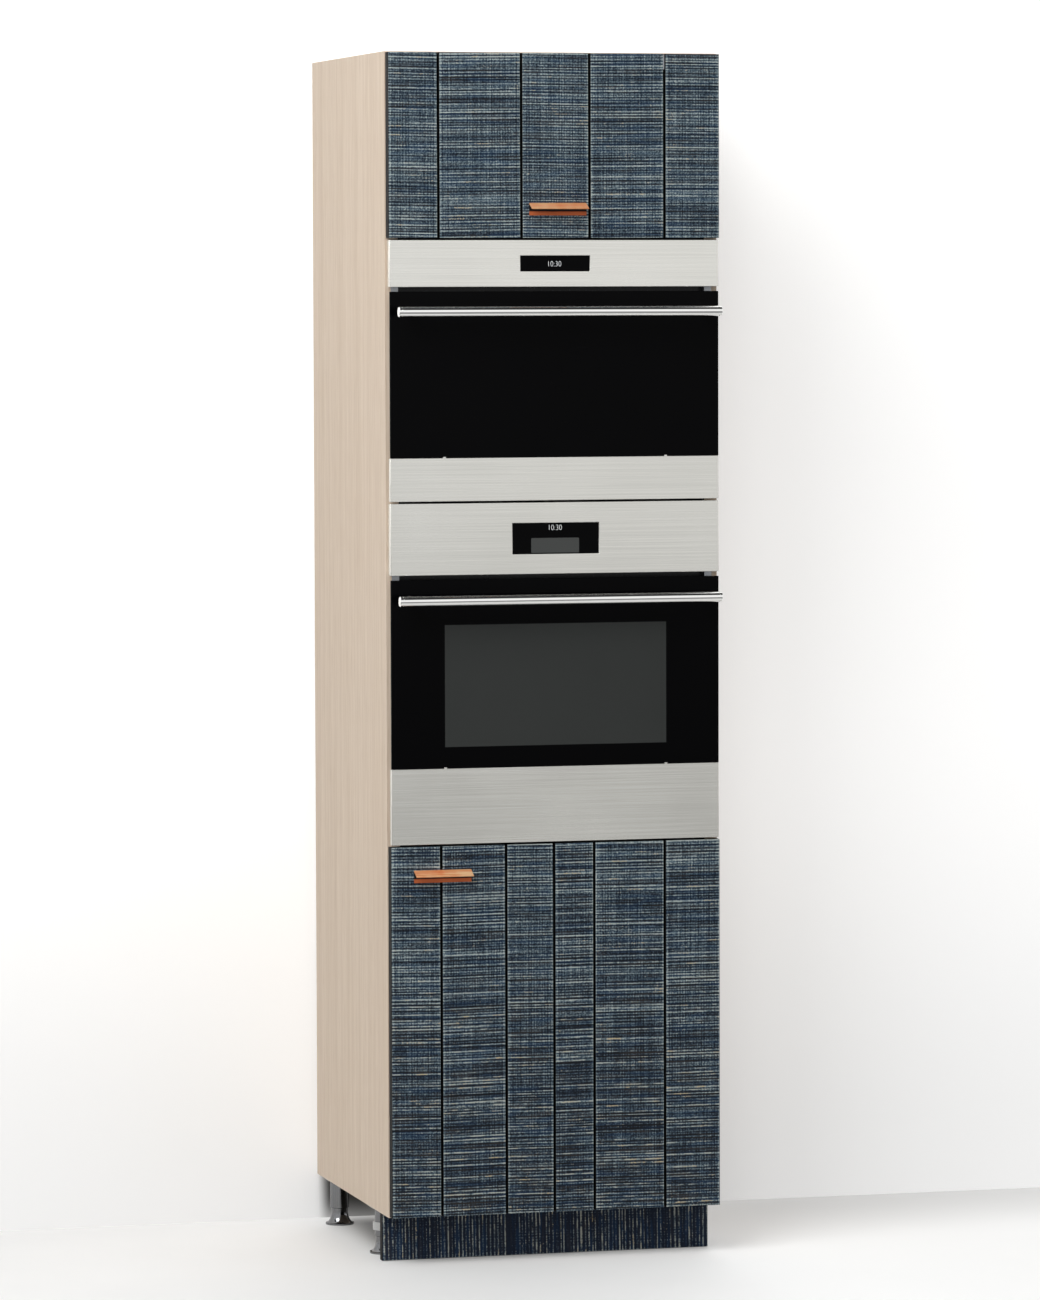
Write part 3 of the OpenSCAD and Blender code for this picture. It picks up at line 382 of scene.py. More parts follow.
def blue_wash(name, saw_along, grain_along, contrast=1.0, shade=0.0, sparks=0.15, blue=0.14,
              navy=0.0):
    """The saw's ridges run along the first axis and the wood's grain along the second."""
    wash = Finish(name, Specular_IOR_Level=0.2)
    plank, edge, ridge = (wash.attribute(n) for n in ("plank", "edge", "ridge"))
    low_down = 1 - wash.fade(wash.axis("Z"), 0.15, 0.70)
    step_aside = wash.node("ShaderNodeCombineXYZ", inputs={0: plank * 2.3, 2: plank * 3.1})
    wash.place = wash.node("ShaderNodeVectorMath", {"operation": "ADD"},
                           {0: wash.place, 1: step_aside})

    def streaks(with_saw, with_grain, detail=0.0, shift=(0, 0, 0)):
        """Noise with so many features per metre along the saw's ridges and along the grain."""
        per_metre = {saw_along: with_saw, grain_along: with_grain, "Y": 1.0}
        return wash.noise([per_metre[a] for a in "XYZ"], detail, 0.6, shift)

    beads = streaks(bead_rate, 480, 1.0)
    threads = streaks(470, 5, 0.0, (0.7, 0, 5.2))
    hairs = streaks(2.5, 620, 0.0, (3.1, 0, 1.7))
    cloud = streaks(16, 16, 2.0, (9.0, 0, 2.0))
    columns = wash.node("ShaderNodeTexWave", {"bands_direction": saw_along}, {
        "Vector": wash.place, "Scale": math.tau / 20 / column_step, "Distortion": 2.0,
        "Detail": 1.0, "Detail Scale": 0.2}, "Fac")
    pattern = ((ridge - 0.5) * 0.85 + (beads - 0.5) * 1.0 + (threads - 0.5) * 0.35
               + (hairs - 0.5) * 0.5 + (columns - 0.5) * 0.12 + (cloud - 0.5) * 0.2)
    dashes = wash.fade(streaks(60, 240, 0.0, (6.0, 0, 7.7)), 0.46, 0.62)
    lines = wash.fade(ridge, 0.60, 0.86) * dashes
    # the edge term is a painted highlight along the plank edges, partly rubbed wear
    tone = (mid_tone - shade - low_dim * low_down + pattern * contrast
            + lines * (sparks + low_sparks * low_down) + edge * edge_highlight_and_wear)
    colour = wash.node("ShaderNodeValToRGB", {"stops": [
        (0.0, paint(4, 7, 14)), (0.2, paint(20, 31, 45)), (0.42, paint(58, 73, 86)),
        (0.64, paint(104, 121, 129)), (0.92, paint(180, 190, 188))]}, {"Fac": tone})
    tint = streaks(14, 150, 1.0, (5.0, 0, 0.6))
    colour = wash.blend(wash.fade(tint, 0.52, 0.68) * blue, colour, paint(34, 80, 124))
    colour = wash.blend((1 - wash.fade(tint, 0.34, 0.46)) * 0.10, colour, paint(112, 104, 92))
    colour = wash.blend(navy * (1 - lines), colour, paint(4, 28, 56))
    bare = wash.fade(streaks(24, 60, 1.0, (1.0, 0, 3.3)), 0.54, 0.68)
    gold = (bare * wash.fade(beads + ridge * 0.15 + lines * 0.25, 0.76, 0.86)
            + lines * low_down * 0.25)
    colour = wash.blend(gold * 0.7, colour, paint(196, 172, 128))
    wash.set("Base Color", colour)
    wash.set("Roughness", 0.5 + 0.25 * beads)
    wash.bump(beads + threads * 0.5 + hairs * 0.5, 0.5 * MM, 0.7)
    return wash


print("beads of wash are about", round(1000 / bead_rate, 1), "mm apart")

# %% Washes of the flap, the door and the plinth
finishes["blue_wood"] = blue_wash("blue_washed_planks", "X", "Z")
finishes["door_wood"] = blue_wash("blue_washed_door", "X", "Z", contrast=1.15, shade=0.035,
                                  sparks=0.2)
finishes["plinth_wood"] = blue_wash("blue_washed_plinth", "Z", "X", contrast=2.2, shade=0.33,
                                    sparks=0.3, blue=0.3, navy=0.45)
print(len(finishes), "washes ready")

# %% Where each plank of a front is
def plank_boxes(node):
    """The CAD keeps a door's planks in one node, so its loose parts give each plank's box."""
    merged = bmesh.new()
    merged.from_mesh(frame["nodes"][node].data)
    bmesh.ops.remove_doubles(merged, verts=merged.verts, dist=1e-6)
    waiting, boxes = set(merged.verts), []
    while waiting:
        island, edge_of_island = set(), [waiting.pop()]
        while edge_of_island:
            vert = edge_of_island.pop()
            island.add(vert)
            for edge in vert.link_edges:
                other = edge.other_vert(vert)
                if other in waiting:
                    waiting.discard(other)
                    edge_of_island.append(other)
        spots = [v.co for v in island]
        boxes.append([Vector(min(s[i] for s in spots) for i in range(3)),
                      Vector(max(s[i] for s in spots) for i in range(3))])
    merged.free()
    return sorted(boxes, key=lambda box: box[0].x)


for node in ("flap_planks", "lower_door_planks"):
    widths = [round((high.x - low.x) * 1000) for low, high in plank_boxes(node)]
    print(node, "are", widths, "mm wide")

# %% [markdown]
# A sawn face is a thin skin over the CAD plank: a grid, a little over the plank's front, pushed
# out by the ridges. Its rim falls back to the plank, so the eased edges catch the light. The
# CAD plank stays as the body under it and gets the black that the saw cuts were painted with.

# %% The saw's relief
ridge_height = 0.5 * MM
lean, wander = 0.02, 3.5
stroke_share, nick_share = 0.28, 0.45


def sawn_relief(place, seed, upright, saw_step):
    """Near 0 in a furrow of the saw, 1 on a ridge."""
    across, along = (place.x, place.z) if upright else (place.z, place.x)
    along += across * lean * math.sin(7 * seed)
    uneven = noise.noise(Vector((across * 0.8, along * 45, seed + 3)))
    strokes = math.sin(math.tau * along / saw_step + wander * uneven)
    nicks = noise.noise(Vector((across * 3.0, along * 420, seed)))
    return min(1.0, max(0.02, 0.5 + stroke_share * strokes + nick_share * nicks))


print("ridges stand", round(1000 * ridge_height, 1), "mm high")

# %% One sawn face
inset = 0.8 * MM
skin_lift = 0.15 * MM
skirt_depth = 0.3 * MM
rim_width, pale_edge = 1.6 * MM, 2.8 * MM
fine_step, long_step = 1.2 * MM, 5.0 * MM


def sawn_face(shape, low, high, seed, upright, saw_step):
    """Adds one plank's front skin to the bmesh called shape, inside the plank's chamfers."""
    low, high = low + Vector((inset, 0, inset / 3)), high - Vector((inset, 0, inset / 3))
    width, height = high.x - low.x, high.z - low.z
    step_x, step_z = (long_step, fine_step) if upright else (fine_step, long_step)
    grid = bmesh.ops.create_grid(
        shape, x_segments=max(4, round(width / step_x)), y_segments=round(height / step_z),
        size=0.5, matrix=Matrix.Translation(((low.x + high.x) / 2, low.y, (low.z + high.z) / 2))
        @ Matrix.Rotation(math.radians(90), 4, "X") @ Matrix.Diagonal((width, height, 1, 1)))
    plank_layer = shape.verts.layers.float["plank"]
    edge_layer = shape.verts.layers.float["edge"]
    ridge_layer = shape.verts.layers.float["ridge"]
    for vert in grid["verts"]:
        rim = min(vert.co.x - low.x, high.x - vert.co.x, vert.co.z - low.z, high.z - vert.co.z)
        crown = min(1.0, rim / rim_width)
        ridge = sawn_relief(vert.co, seed, upright, saw_step)
        vert.co.y = low.y - skin_lift - crown * ridge * ridge_height
        vert[ridge_layer] = ridge
        vert[plank_layer] = seed % 1
        # nearness of an edge, which the wash turns into a painted highlight and rubbed wear
        vert[edge_layer] = max(0.0, 1 - rim / pale_edge)
    rims = [edge for edge in shape.edges if edge.is_boundary]
    skirt = bmesh.ops.extrude_edge_only(shape, edges=rims)["geom"]
    for vert in (item for item in skirt if isinstance(item, bmesh.types.BMVert)):
        vert.co.y = low.y + skirt_depth
    back = [edge for edge in shape.edges if edge.is_boundary]
    bmesh.ops.holes_fill(shape, edges=back, sides=0)


print("a face is cut every", round(1000 * fine_step, 1), "mm across the ridges")

# %% Sawn fronts
def sawn_front(name, boxes, finish, body, saw_step, upright=True):
    shape = bmesh.new()
    for layer in ("plank", "edge", "ridge"):
        shape.verts.layers.float.new(layer)
    for number, (low, high) in enumerate(boxes):
        sawn_face(shape, low, high, 1.37 * number + 0.31, upright, saw_step)
    bmesh.ops.recalc_face_normals(shape, faces=shape.faces)
    made = add_mesh(name, shape, finish)
    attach(made, body)
    print(name, "has", len(made.data.polygons), "faces")
    return made


sawn_front("flap_sawn_faces", plank_boxes("flap_planks"), finishes["blue_wood"], "flap",
           saw_step=5.0 * MM)
sawn_front("lower_door_sawn_faces", plank_boxes("lower_door_planks"), finishes["door_wood"],
           "lower_door", saw_step=5.4 * MM)
sawn_front("plinth_sawn_face", [[Vector(c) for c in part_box("plinth_board")]],
           finishes["plinth_wood"], "root", saw_step=6.4 * MM, upright=False)

# %% [markdown]
# ## Boards
# The carcass is chipboard with a pale oak-look face: a quiet, fine grain that runs up the sides
# and along the shelves. The backing boards behind the planks are stained black, and so are the
# cut edges of the planks. Both are quiet finishes, so small changes in roughness do the work.

# %% Oak-look board
def oak_board(name, grain):
    oak = Finish(name, Specular_IOR_Level=0.35)

    def lines(across, along, detail, shift=(0, 0, 0)):
        per_metre = [across] * 3
        per_metre["XYZ".index(grain)] = along
        return oak.noise(per_metre, detail, 0.6, shift)

    bands, fibres = lines(60, 0.9, 4.0), lines(420, 7, 2.0, (3, 1, 5))
    pores = lines(600, 14, 1.0, (7, 2, 1))
    colour = oak.blend(oak.fade(bands * 0.45 + fibres * 0.55, 0.34, 0.66),
                       paint(214, 193, 171), paint(230, 212, 192))
    colour = oak.blend(oak.fade(pores, 0.58, 0.72) * 0.4, colour, paint(190, 163, 138))
    oak.set("Base Color", colour)
    oak.set("Roughness", 0.48 + 0.12 * fibres)
    oak.bump(fibres - pores * 0.5, 0.06 * MM, 0.5)
    return oak


finishes["oak_board"] = oak_board("oak_along_the_shelves", "X")
finishes["oak_upright"] = oak_board("oak_up_the_sides", "Z")
print("the oak's grain runs up the sides and along the shelves")

# %% Black-stained board and beech dowels
stain = Finish("black_stained_board", Specular_IOR_Level=0.15)
fibre = stain.noise((90, 90, 30), 4.0, 0.6)
stain.set("Base Color", stain.blend(stain.fade(fibre, 0.4, 0.7), paint(3, 3, 4),
                                    paint(12, 12, 13)))
stain.set("Roughness", 0.55 + 0.2 * fibre)
stain.bump(fibre, 0.1 * MM, 0.4)
finishes["black_board"] = stain

beech = Finish("beech_dowel", Roughness=0.6)
fleck = beech.noise((60, 500, 500), 2.0)
beech.set("Base Color", beech.blend(beech.fade(fleck, 0.4, 0.7), paint(190, 150, 104),
                                    paint(214, 180, 136)))
beech.bump(fleck, 0.1 * MM, 0.4)
finishes["dowel_wood"] = beech
print("black stain and beech ready")

# %% [markdown]
# ## Metals
# Brushed steel is bright but soft: the brush leaves lines in one direction, which a noise
# stretched along that direction gives to the roughness and the bump. Its colour is painted a
# little duller low down and brighter high up, as painted shade and light where the lamps' light
# falls off towards the floor. The legs' chrome is painted darker, as painted shade for the dark
# it reflects under the unit. Copper is brushed the same way and has darkened in its fold: browned
# by patina, and painted nearly black just under the lip as the lip's shadow. Plated sheet shows
# its crystals.

# %% Brushed and polished metal
def brushed(name, along, dull, bright, rough, spread=0.1):
    metal = Finish(name, Metallic=1.0)
    per_metre = [900.0] * 3
    per_metre["XYZ".index(along)] = 3.0
    brush = metal.noise(per_metre, 3.0, 0.6)
    smudge = metal.noise((5, 5, 5), 3.0, 0.5, (2, 4, 1))
    sheen = metal.fade(brush * 0.4 + smudge * 0.2, 0.2, 0.4) * 0.5
    # painted light and shade by height: brighter high up, duller low down
    painted_light_high_up = metal.fade(metal.axis("Z"), 0.6, 1.7) * 0.5
    metal.set("Base Color", metal.blend(sheen + painted_light_high_up, dull, bright))
    metal.set("Roughness", rough + spread * (brush + smudge - 1.0))
    metal.bump(brush, 0.03 * MM, 0.12)
    return metal


finishes["steel"] = brushed("brushed_steel", "X", paint(206, 205, 199), paint(238, 237, 231),
                            rough=0.25)
finishes["bar_steel"] = brushed("polished_bar", "X", paint(232, 232, 230), paint(244, 244, 242),
                                rough=0.07, spread=0.02)
finishes["bright"] = brushed("polished_chrome", "Z", paint(196, 198, 202), paint(214, 216, 219),
                             rough=0.12, spread=0.05)
# painted shade: the legs' chrome gets a darker colour for the dark it reflects under the unit
finishes["shaded_leg_chrome"] = brushed("smoked_chrome", "Z", paint(116, 117, 119), paint(146, 147, 149),
                                 rough=0.12, spread=0.05)
print("steel, bar, chrome and smoked chrome ready")

# %% Copper and zinc
copper = Finish("tarnished_copper")
brush, cloud = copper.noise((4, 700, 700), 3.0, 0.6), copper.noise((30, 30, 30), 4.0)
# the fold value: browned patina on the plate, and near 1 a painted shadow under the lip
fold = copper.fade(copper.attribute("fold") + (cloud - 0.5) * 0.3, 0.0, 1.0)
bright_copper = copper.blend(copper.fade(brush * 0.6 + cloud * 0.4, 0.36, 0.64),
                             paint(238, 134, 76), paint(255, 214, 164))
# colours from browned patina down to the near-black painted shadow of the lip
browned_and_shaded = copper.node("ShaderNodeValToRGB", {"stops": [
    (0.0, paint(210, 112, 64)), (0.5, paint(186, 96, 54)), (0.8, paint(60, 27, 13)),
    (1.0, paint(8, 4, 3))]}, {"Fac": fold})
patina_and_shadow = copper.fade(fold, 0.1, 0.4)
copper.set("Base Color", copper.blend(patina_and_shadow, bright_copper, browned_and_shaded))
copper.set("Metallic", 0.35 + 0.2 * patina_and_shadow)
copper.set("Roughness", 0.34 + 0.2 * patina_and_shadow + 0.12 * (cloud - 0.5))
copper.bump(brush, 0.03 * MM, 0.4)
finishes["copper"] = copper

zinc = Finish("zinc_plated_sheet", Metallic=1.0)
crystal = zinc.node("ShaderNodeTexVoronoi", inputs={"Vector": zinc.place, "Scale": 140.0},
                    out="Color")
shade = zinc.node("ShaderNodeSeparateXYZ", inputs={"Vector": crystal}, out="X")
zinc.set("Base Color", zinc.blend(shade * 0.6 + zinc.noise((9, 9, 9), 3.0) * 0.4,
                                  paint(150, 153, 158), paint(190, 193, 197)))
zinc.set("Roughness", 0.34 + 0.16 * shade)
finishes["zinc"] = zinc
print("copper and zinc ready")

# %% [markdown]
# ## Enamel, glass, plastic and rubber
# Oven enamel is a dark glass fused to steel, with tiny pale specks. The door's outer glass is
# printed black from behind, so it is black with a polished face; the larger oven has a grey
# viewing window in it. The inner pane is tinted and can be looked through.

# %% Enamel, plastic and rubber
enamel = Finish("speckled_enamel", Specular_IOR_Level=0.2, Coat_Weight=0.1, Coat_Roughness=0.1)
speck = enamel.node("ShaderNodeTexVoronoi", inputs={"Vector": enamel.place, "Scale": 420.0},
                    out="Distance")
mottle = enamel.noise((30, 30, 30), 3.0)
dark = enamel.blend(enamel.fade(mottle, 0.35, 0.7), paint(10, 10, 12), paint(20, 20, 23))
enamel.set("Base Color", enamel.blend(1 - enamel.fade(speck, 0.10, 0.18), dark, paint(84, 88, 96)))
enamel.set("Roughness", 0.22 + 0.15 * mottle)
enamel.bump(mottle, 0.1 * MM, 0.3)
finishes["enamel"] = enamel


def moulded(name, low, high, rough, per_metre=900.0):
    plastic = Finish(name, Specular_IOR_Level=0.4)
    pebble = plastic.noise((per_metre,) * 3, 2.0)
    dust = plastic.noise((12, 12, 12), 3.0, 0.6, (1, 2, 3))
    plastic.set("Base Color", plastic.blend(plastic.fade(dust, 0.35, 0.7), low, high))
    plastic.set("Roughness", rough + 0.15 * dust)
    plastic.bump(pebble, 0.08 * MM, 0.4)
    return plastic


finishes["black_plastic"] = moulded("black_moulding", paint(22, 22, 23), paint(38, 38, 39), 0.42)
finishes["pale_plastic"] = moulded("pale_moulding", paint(186, 186, 184), paint(204, 204, 202),
                                   0.42)
finishes["seal"] = moulded("silicone_seal", paint(34, 34, 35), paint(52, 52, 54), 0.6, 500.0)
print("enamel, two mouldings and the seal ready")

# %% Door glass, viewing window and inner pane
def printed_glass(name):
    glass = Finish(name, Specular_IOR_Level=0.03)
    haze = glass.noise((6, 6, 6), 4.0)
    glass.set("Roughness", 0.05 + 0.06 * haze)
    glass.bump(glass.noise((3, 3, 3), 1.0), 0.1 * MM, 0.1)
    return glass, haze


black_glass, haze = printed_glass("black_printed_glass")
black_glass.set("Base Color", black_glass.blend(haze, paint(4, 4, 5), paint(7, 7, 8)))
finishes["dark_glass"] = black_glass

window_half = 200.5 * MM
window_low, window_high = 911 * MM, 1124 * MM
window_glass, haze = printed_glass("glass_with_window")


def inside(finish, axis, low, high, soft=0.6 * MM):
    return finish.band(axis, (low - soft, low + soft), (high - soft, high + soft))


window_mask = (inside(window_glass, "X", -window_half, window_half)
               * inside(window_glass, "Z", window_low, window_high))
window_grey = window_glass.blend(haze, paint(56, 58, 57), paint(62, 64, 63))
window_glass.set("Base Color", window_glass.blend(window_mask, paint(5, 5, 6), window_grey))
finishes["window_glass"] = window_glass

pane = Finish("tinted_inner_pane", Roughness=0.04, Alpha=0.45)
film = pane.noise((7, 7, 7), 3.0)
pane.set("Base Color", pane.blend(film, paint(58, 62, 64), paint(74, 78, 80)))
finishes["clear_glass"] = pane
print("window is", round(2000 * window_half), "by", round(1000 * (window_high - window_low)), "mm")

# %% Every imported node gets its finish
record = frame["record"]
slot_of = {part["node"]: part["material_slot"] for part in record["subparts"]}
body_of = {node: body for body, nodes in record["behaviour"]["bodies"].items() for node in nodes}
feet = ["foot_" + place for place in ("front_left", "front_right", "rear_left", "rear_right")]
special = {"plinth_clips": "pale_plastic", "lower_oven_door_glass": "window_glass"}
for finish, nodes in (("oak_upright", ["side_panel_left", "side_panel_right", "back_panels"]),
                      ("black_board", ["flap_planks", "lower_door_planks", "plinth_board"]),
                      ("bar_steel", ["upper_oven_handle", "lower_oven_handle"]),
                      ("shaded_leg_chrome", ["legs"] + feet)):
    special.update(dict.fromkeys(nodes, finish))
for node, packed in frame["nodes"].items():
    for place in packed.material_slots:
        place.material = finishes[special.get(node, slot_of[node])].material
print(len(frame["nodes"]), "nodes dressed in", len(finishes), "finishes")

# %% [markdown]
# ## Eased edges
# No sheet, board or pane ends in a knife edge: each has a small radius that catches the light as
# a thin bright line. The CAD keeps these corners sharp, so the steel, glass and displays of the
# oven fronts are shown by copies with a bevel. A copy is merged first, because the imported meshes
# are loose triangles, and flat triangles are joined again so that the bevel has clean faces to
# cut.

# %% Helpers for copies
def merged_copy(node):
    shape = bmesh.new()
    shape.from_mesh(frame["nodes"][node].data)
    bmesh.ops.remove_doubles(shape, verts=shape.verts, dist=1e-6)
    for face in shape.faces:
        face.smooth = False
    return shape


def join_flat(shape):
    bmesh.ops.dissolve_limit(shape, angle_limit=math.radians(0.5), verts=shape.verts,
                             edges=shape.edges)


def ease(shape, width, segments=2, above=40, where=None):
    """Bevels the corners that are sharper than so many degrees."""
    corners = [edge for edge in shape.edges
               if edge.is_manifold and edge.calc_face_angle(0) > math.radians(above)
               and (where is None or where(edge))]
    rounded = bmesh.ops.bevel(shape, geom=corners, offset=width, offset_type="OFFSET",
                              affect="EDGES", segments=segments, profile=0.5, material=-1,
                              clamp_overlap=True)
    for face in rounded["faces"]:
        face.smooth = True


print("a copy is merged, joined where it is flat, and then bevelled")

# %% Oven fronts with eased edges
def stand_for(shape, node, finish, name=None):
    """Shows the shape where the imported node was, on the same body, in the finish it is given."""
    made = add_mesh(name or node + "_eased", shape, finish)
    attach(made, body_of[node])
    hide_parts(node)
    return made


def eased(node, finish, width, segments=2):
    shape = merged_copy(node)
    join_flat(shape)
    ease(shape, width, segments)
    made = stand_for(shape, node, finishes[finish])
    print(made.name, len(made.data.polygons), "faces")
    return made


for oven in ("upper_oven", "lower_oven"):
    eased(oven + "_fascia", "steel", 0.8 * MM, 3)
    eased(oven + "_door_strip", "steel", 0.8 * MM, 3)
    eased(oven + "_door_glass", "window_glass" if oven == "lower_oven" else "dark_glass", 0.6 * MM)
    eased(oven + "_display", "dark_glass", 0.4 * MM)

# %% [markdown]
# Tubes, bars and wires come from the CAD as flat facets, which a mirror finish gives away. Their
# copies keep the shape but are shaded smooth, except over corners sharper than 30 degrees, so
# they reflect like turned and drawn metal.

# %% Smooth copies of the turned parts
def turned(node):
    shape = merged_copy(node)
    for face in shape.faces:
        face.smooth = True
    for edge in shape.edges:
        edge.smooth = edge.is_manifold and edge.calc_face_angle(0) < math.radians(30)
    finish = finishes[special.get(node, slot_of[node])]
    return stand_for(shape, node, finish, node + "_turned")


for node in ["upper_oven_handle", "lower_oven_handle", "legs", "strut_cylinders", "strut_rods",
             "oven_racks", "rack_ladders", "grill_elements", "shelf_pins"] + feet:
    made = turned(node)
print("the last of the turned parts,", made.name + ", has", len(made.data.polygons), "faces")

# %% [markdown]
# ## Pulls
# Each pull is one strip of copper, folded so that its lip slopes out over the fingers. Air and
# hands have browned the metal inside the fold, and just under the lip it is painted nearly black
# as the lip's shadow. The strip is cut into short lengths here, so that a value can fade over
# it: 1 deep in the fold, where the painted shadow lies, 0 on the lip's bright face.

# %% Copper pulls
def cut_across(shape, axis, step):
    """Cuts a shape into slices along an axis."""
    ends = [vert.co[axis] for vert in shape.verts]
    normal = Vector([float(i == axis) for i in range(3)])
    for number in range(1, int((max(ends) - min(ends)) / step)):
        bmesh.ops.bisect_plane(shape, geom=shape.verts[:] + shape.edges[:] + shape.faces[:],
                               plane_co=normal * (min(ends) + number * step), plane_no=normal)


# a band just under the lip's edge is painted nearly black as the lip's shadow; below it the patina
# fades
top_edge, lip_shadow_band, least_brown = 3 * MM, 4 * MM, 0.45
lip_shadow_end = 9.5 * MM + lip_shadow_band


def copper_pull(node):
    low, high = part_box(node)
    shape = merged_copy(node)
    join_flat(shape)
    ease(shape, 0.35 * MM, above=20)
    cut_across(shape, 2, 1.5 * MM)
    cut_across(shape, 0, 10 * MM)
    layer = shape.verts.layers.float.new("fold")
    for vert in shape.verts:
        below = high.z - vert.co.z
        depth = min(1.0, (vert.co.y - low.y) / (high.y - low.y))
        vert[layer] = 0.0
        if below > top_edge and depth > 0.8:
            vert[layer] = min(1.0, max(least_brown, 1.0 - (below - lip_shadow_end) / lip_shadow_band))
    made = stand_for(shape, node, finishes["copper"])
    print(made.name, len(made.data.polygons), "faces")


copper_pull("flap_handle")
copper_pull("lower_door_handle")

# %% [markdown]
# ## Displays
# Behind each display's black glass a clock glows white. The full-size oven's display also has a
# grey touch field. Both sit flush with the glass, like print on its inner face.

# %% Finishes of the print
glow = Finish("display_white", Roughness=0.5, Emission_Strength=0.6)
flicker = glow.noise((40, 40, 40), 2.0)
glow.set("Base Color", glow.blend(flicker, paint(214, 217, 220), paint(228, 230, 232)))
glow.set("Emission Color", glow.blend(flicker, paint(208, 212, 216), paint(224, 228, 230)))
field = Finish("touch_field", Roughness=0.35, Specular_IOR_Level=0.2)
field.set("Base Color", field.blend(field.noise((9, 9, 9), 3.0), paint(66, 68, 67),
                                    paint(76, 78, 77)))
print_depth = 0.12 * MM
print("the print is", round(1000 * print_depth, 2), "mm thick")

# %% Clocks
thinner = -0.024
clock_size, clock_x = (23 * MM, 9 * MM), -0.5 * MM


def clock(name, words, node, size, centre_x, centre_z):
    """Digits made as text, turned into a thin solid and stood on the display's glass."""
    letters = bpy.data.curves.new(name, "FONT")
    letters.body, letters.align_x, letters.align_y = words, "CENTER", "CENTER"
    letters.extrude, letters.offset, letters.resolution_u = 0.5, thinner, 6
    shape = bmesh.new()
    shape.from_mesh(bpy.data.objects.new(name + "_text", letters).to_mesh())
    bmesh.ops.remove_doubles(shape, verts=shape.verts, dist=1e-5)
    spots = [vert.co for vert in shape.verts]
    low, high = (Vector(pick(s[i] for s in spots) for i in range(3)) for pick in (min, max))
    wider, taller = size[0] / (high.x - low.x), size[1] / (high.y - low.y)
    bmesh.ops.translate(shape, verts=shape.verts, vec=-(low + high) / 2)
    bmesh.ops.scale(shape, verts=shape.verts, vec=(wider, taller, print_depth))
    bmesh.ops.rotate(shape, verts=shape.verts, matrix=Matrix.Rotation(math.radians(90), 3, "X"))
    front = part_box(node)[0].y
    bmesh.ops.translate(shape, verts=shape.verts, vec=(centre_x, front, centre_z))
    bmesh.ops.recalc_face_normals(shape, faces=shape.faces)
    made = add_mesh(name, shape, glow)
    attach(made, body_of[node])
    print(name, "was stretched by", round(taller / wider, 2))


clock("upper_clock", "10:30", "upper_oven_display", clock_size, clock_x, 1752 * MM)
clock("lower_clock", "10:30", "lower_oven_display", clock_size, clock_x, 1292 * MM)

# %% Touch field
def touch_field(name, node, low_x, high_x, low_z, high_z):
    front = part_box(node)[0].y
    shape = bmesh.new()
    bmesh.ops.create_cube(shape, size=1.0, matrix=Matrix.Translation(
        ((low_x + high_x) / 2, front, (low_z + high_z) / 2))
        @ Matrix.Diagonal((high_x - low_x, print_depth, high_z - low_z, 1)))
    ease(shape, 1.5 * MM, 4, 40, lambda edge: abs(edge.verts[0].co.y - edge.verts[1].co.y) > 1e-6)
    made = add_mesh(name, shape, field)
    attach(made, body_of[node])
    print(name, "is", round(1000 * (high_x - low_x), 1), "mm wide, with rounded corners")


touch_field("lower_touch_field", "lower_oven_display", -44.4 * MM, 42.3 * MM,
            1247.8 * MM, 1273.7 * MM)

# %% [markdown]
# ## Small things between the fronts
# The fixed boards have a black edge tape, a dark strip that paints in the shade of the narrow
# gaps between the fronts. Two bright clips hold each oven's glass where it meets the steel strip.

# %% Edge tapes of painted shade and glass clips
def block(name, boxes, finish, node, width=0.0):
    """Small boxes as one piece, given by their lowest and highest corners."""
    shape = bmesh.new()
    for low, high in boxes:
        low, high = Vector(low), Vector(high)
        bmesh.ops.create_cube(shape, size=1.0, matrix=Matrix.Translation((low + high) / 2)
                              @ Matrix.Diagonal((*(high - low), 1)))
    if width:
        ease(shape, width)
    made = add_mesh(name, shape, finishes[finish])
    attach(made, body_of[node])
    print(name, "has", len(boxes), "pieces")


# black tapes on the boards' front edges: painted shade for the gaps between the fronts
tape_t, tape_half = 0.4 * MM, 277 * MM
shade_tapes = []
for board in ("oven_shelf", "middle_shelf", "compartment_shelf"):
    low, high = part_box(board)
    shade_tapes.append(((-tape_half, low.y - tape_t, low.z), (tape_half, low.y, high.z)))
block("board_edge_tapes", shade_tapes, "black_board", "oven_shelf")

clip_x, clip_half, clip_up, clip_out = 200 * MM, 2.5 * MM, 2.2 * MM, 0.7 * MM
for oven in ("upper_oven", "lower_oven"):
    low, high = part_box(oven + "_door_strip")
    block(oven + "_glass_clips", [
        ((side * clip_x - clip_half, low.y - clip_out, high.z - 0.6 * MM),
         (side * clip_x + clip_half, low.y + 0.2 * MM, high.z + clip_up)) for side in (-1, 1)],
        "steel", oven + "_door_strip", 0.2 * MM)

# %% [markdown]
# ## Screws
# The hinges, the struts' brackets, the ovens and their back sheets are all screwed on. Each head
# is a short cone with a round socket pressed into it. The heads of one group are one piece, and
# it rides on the body that they hold.

# %% Screw heads
head_height, socket_share = 1.1 * MM, 0.6


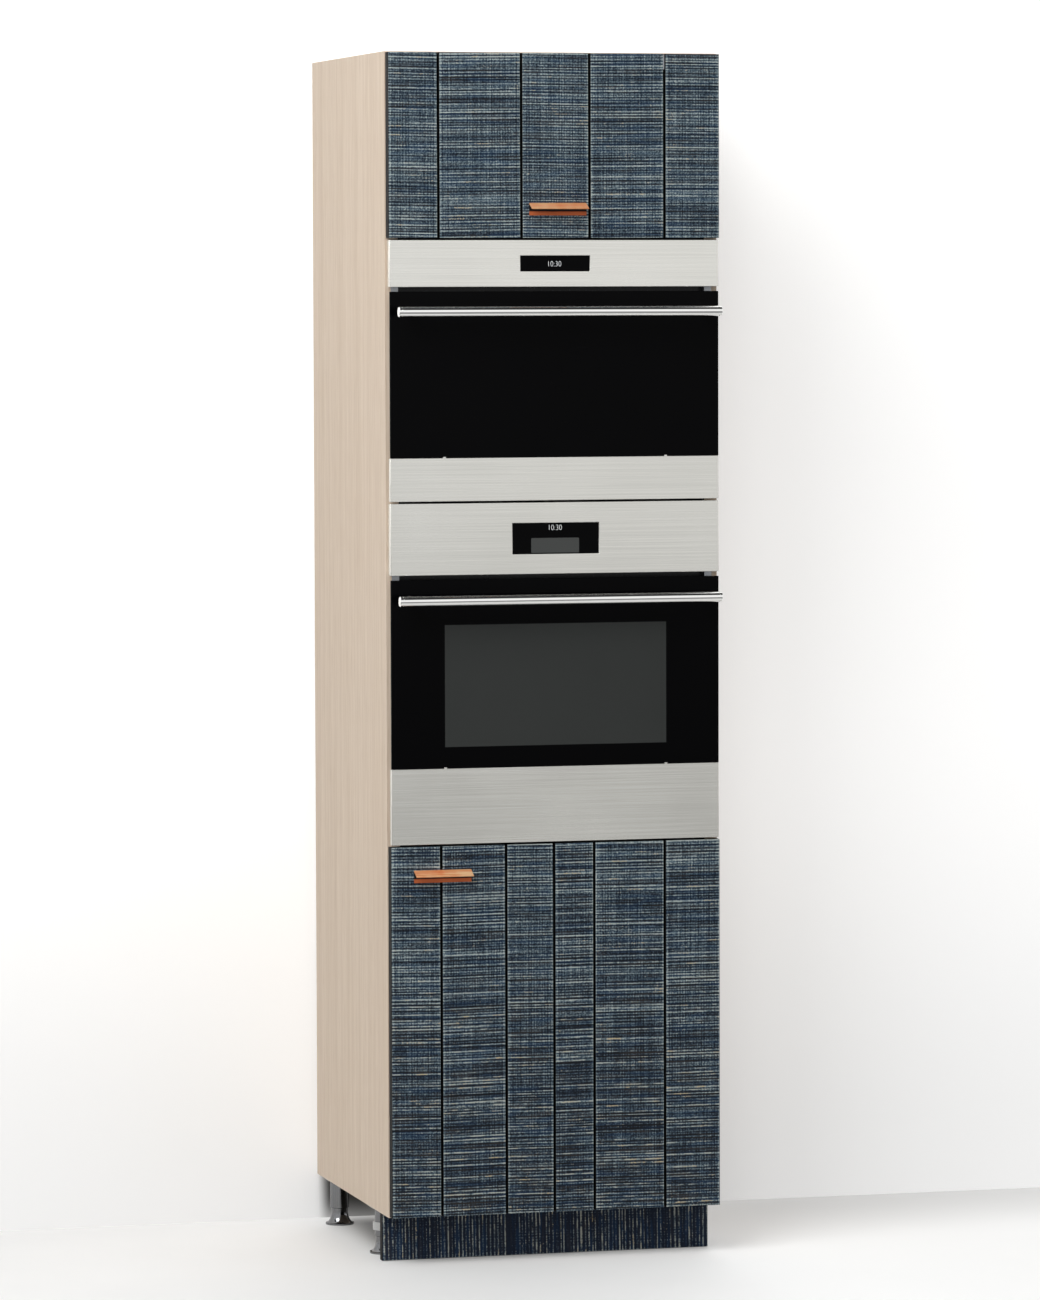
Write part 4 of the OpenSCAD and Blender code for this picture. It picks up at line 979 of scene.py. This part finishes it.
def screws(name, node, feet_of_heads, facing, radius=3.4 * MM):
    facing = Vector(facing)
    turn = facing.to_track_quat("Z", "Y").to_matrix().to_4x4()
    shape = bmesh.new()
    for foot in feet_of_heads:
        middle = Matrix.Translation(Vector(foot) * MM + facing * head_height / 2)
        head = bmesh.ops.create_cone(shape, cap_ends=True, segments=20, radius1=radius,
                                     radius2=0.82 * radius, depth=head_height,
                                     matrix=middle @ turn)
        shape.normal_update()
        sides = {face for vert in head["verts"] for face in vert.link_faces}
        top = max(sides, key=lambda face: face.normal.dot(facing))
        bmesh.ops.inset_individual(shape, faces=[top], thickness=0.4 * radius)
        socket = bmesh.ops.extrude_discrete_faces(shape, faces=[top])["faces"][0]
        bmesh.ops.translate(shape, verts=socket.verts[:], vec=-socket_share * head_height * facing)
    bmesh.ops.recalc_face_normals(shape, faces=shape.faces)
    made = add_mesh(name, shape, finishes["bright"])
    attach(made, body_of[node])
    print(name, "has", len(feet_of_heads), "heads")


print("a head's socket is", round(1000 * socket_share * head_height, 2), "mm deep")

# %% Screws of the hinges, struts and ovens, in millimetres
hinge_levels, flap_hinge_spots = (177, 647.5), (-190, 190)
leaf_back, board_back, arm_depth = -245.3, -244.5, -208.5
screws("door_leaf_screws", "lower_door_hinge_leaves",
       [(262, leaf_back, z + up) for z in hinge_levels for up in (-11, 11)], (0, 1, 0))
screws("door_arm_screws", "lower_door_hinge_arms",
       [(280.5, arm_depth, z + up) for z in hinge_levels for up in (-14, 14)], (-1, 0, 0))
screws("flap_leaf_screws", "flap_hinge_leaves",
       [(x + aside, leaf_back, 2081) for x in flap_hinge_spots for aside in (-11, 11)], (0, 1, 0))
screws("flap_arm_screws", "flap_hinge_arms",
       [(x + aside, arm_depth, 2100.5) for x in flap_hinge_spots for aside in (-14, 14)],
       (0, 0, -1))
screws("strut_foot_screws", "strut_flap_brackets",
       [(side * 260, board_back, 1914.6 + up) for side in (-1, 1) for up in (-12.5, 12.5)],
       (0, 1, 0), 2.8 * MM)
for side, name in ((-1, "left"), (1, "right")):
    screws(name + "_strut_bracket_screws", "strut_cabinet_brackets",
           [(side * 280, y, 2061) for y in (-74, -52)], (-side, 0, 0), 2.8 * MM)
for oven, fixing_levels, back_levels in (("upper_oven", (1450, 1640), (1366, 1564, 1762)),
                                         ("lower_oven", (860, 1130), (762, 1032, 1303))):
    screws(oven + "_fixing_screws", oven + "_cavity",
           [(side * 270, -228.5, z) for side in (-1, 1) for z in fixing_levels], (0, -1, 0))
    screws(oven + "_back_screws", oven + "_casing",
           [(side * 262, 285.5, z) for side in (-1, 1) for z in back_levels], (0, 1, 0), 4 * MM)
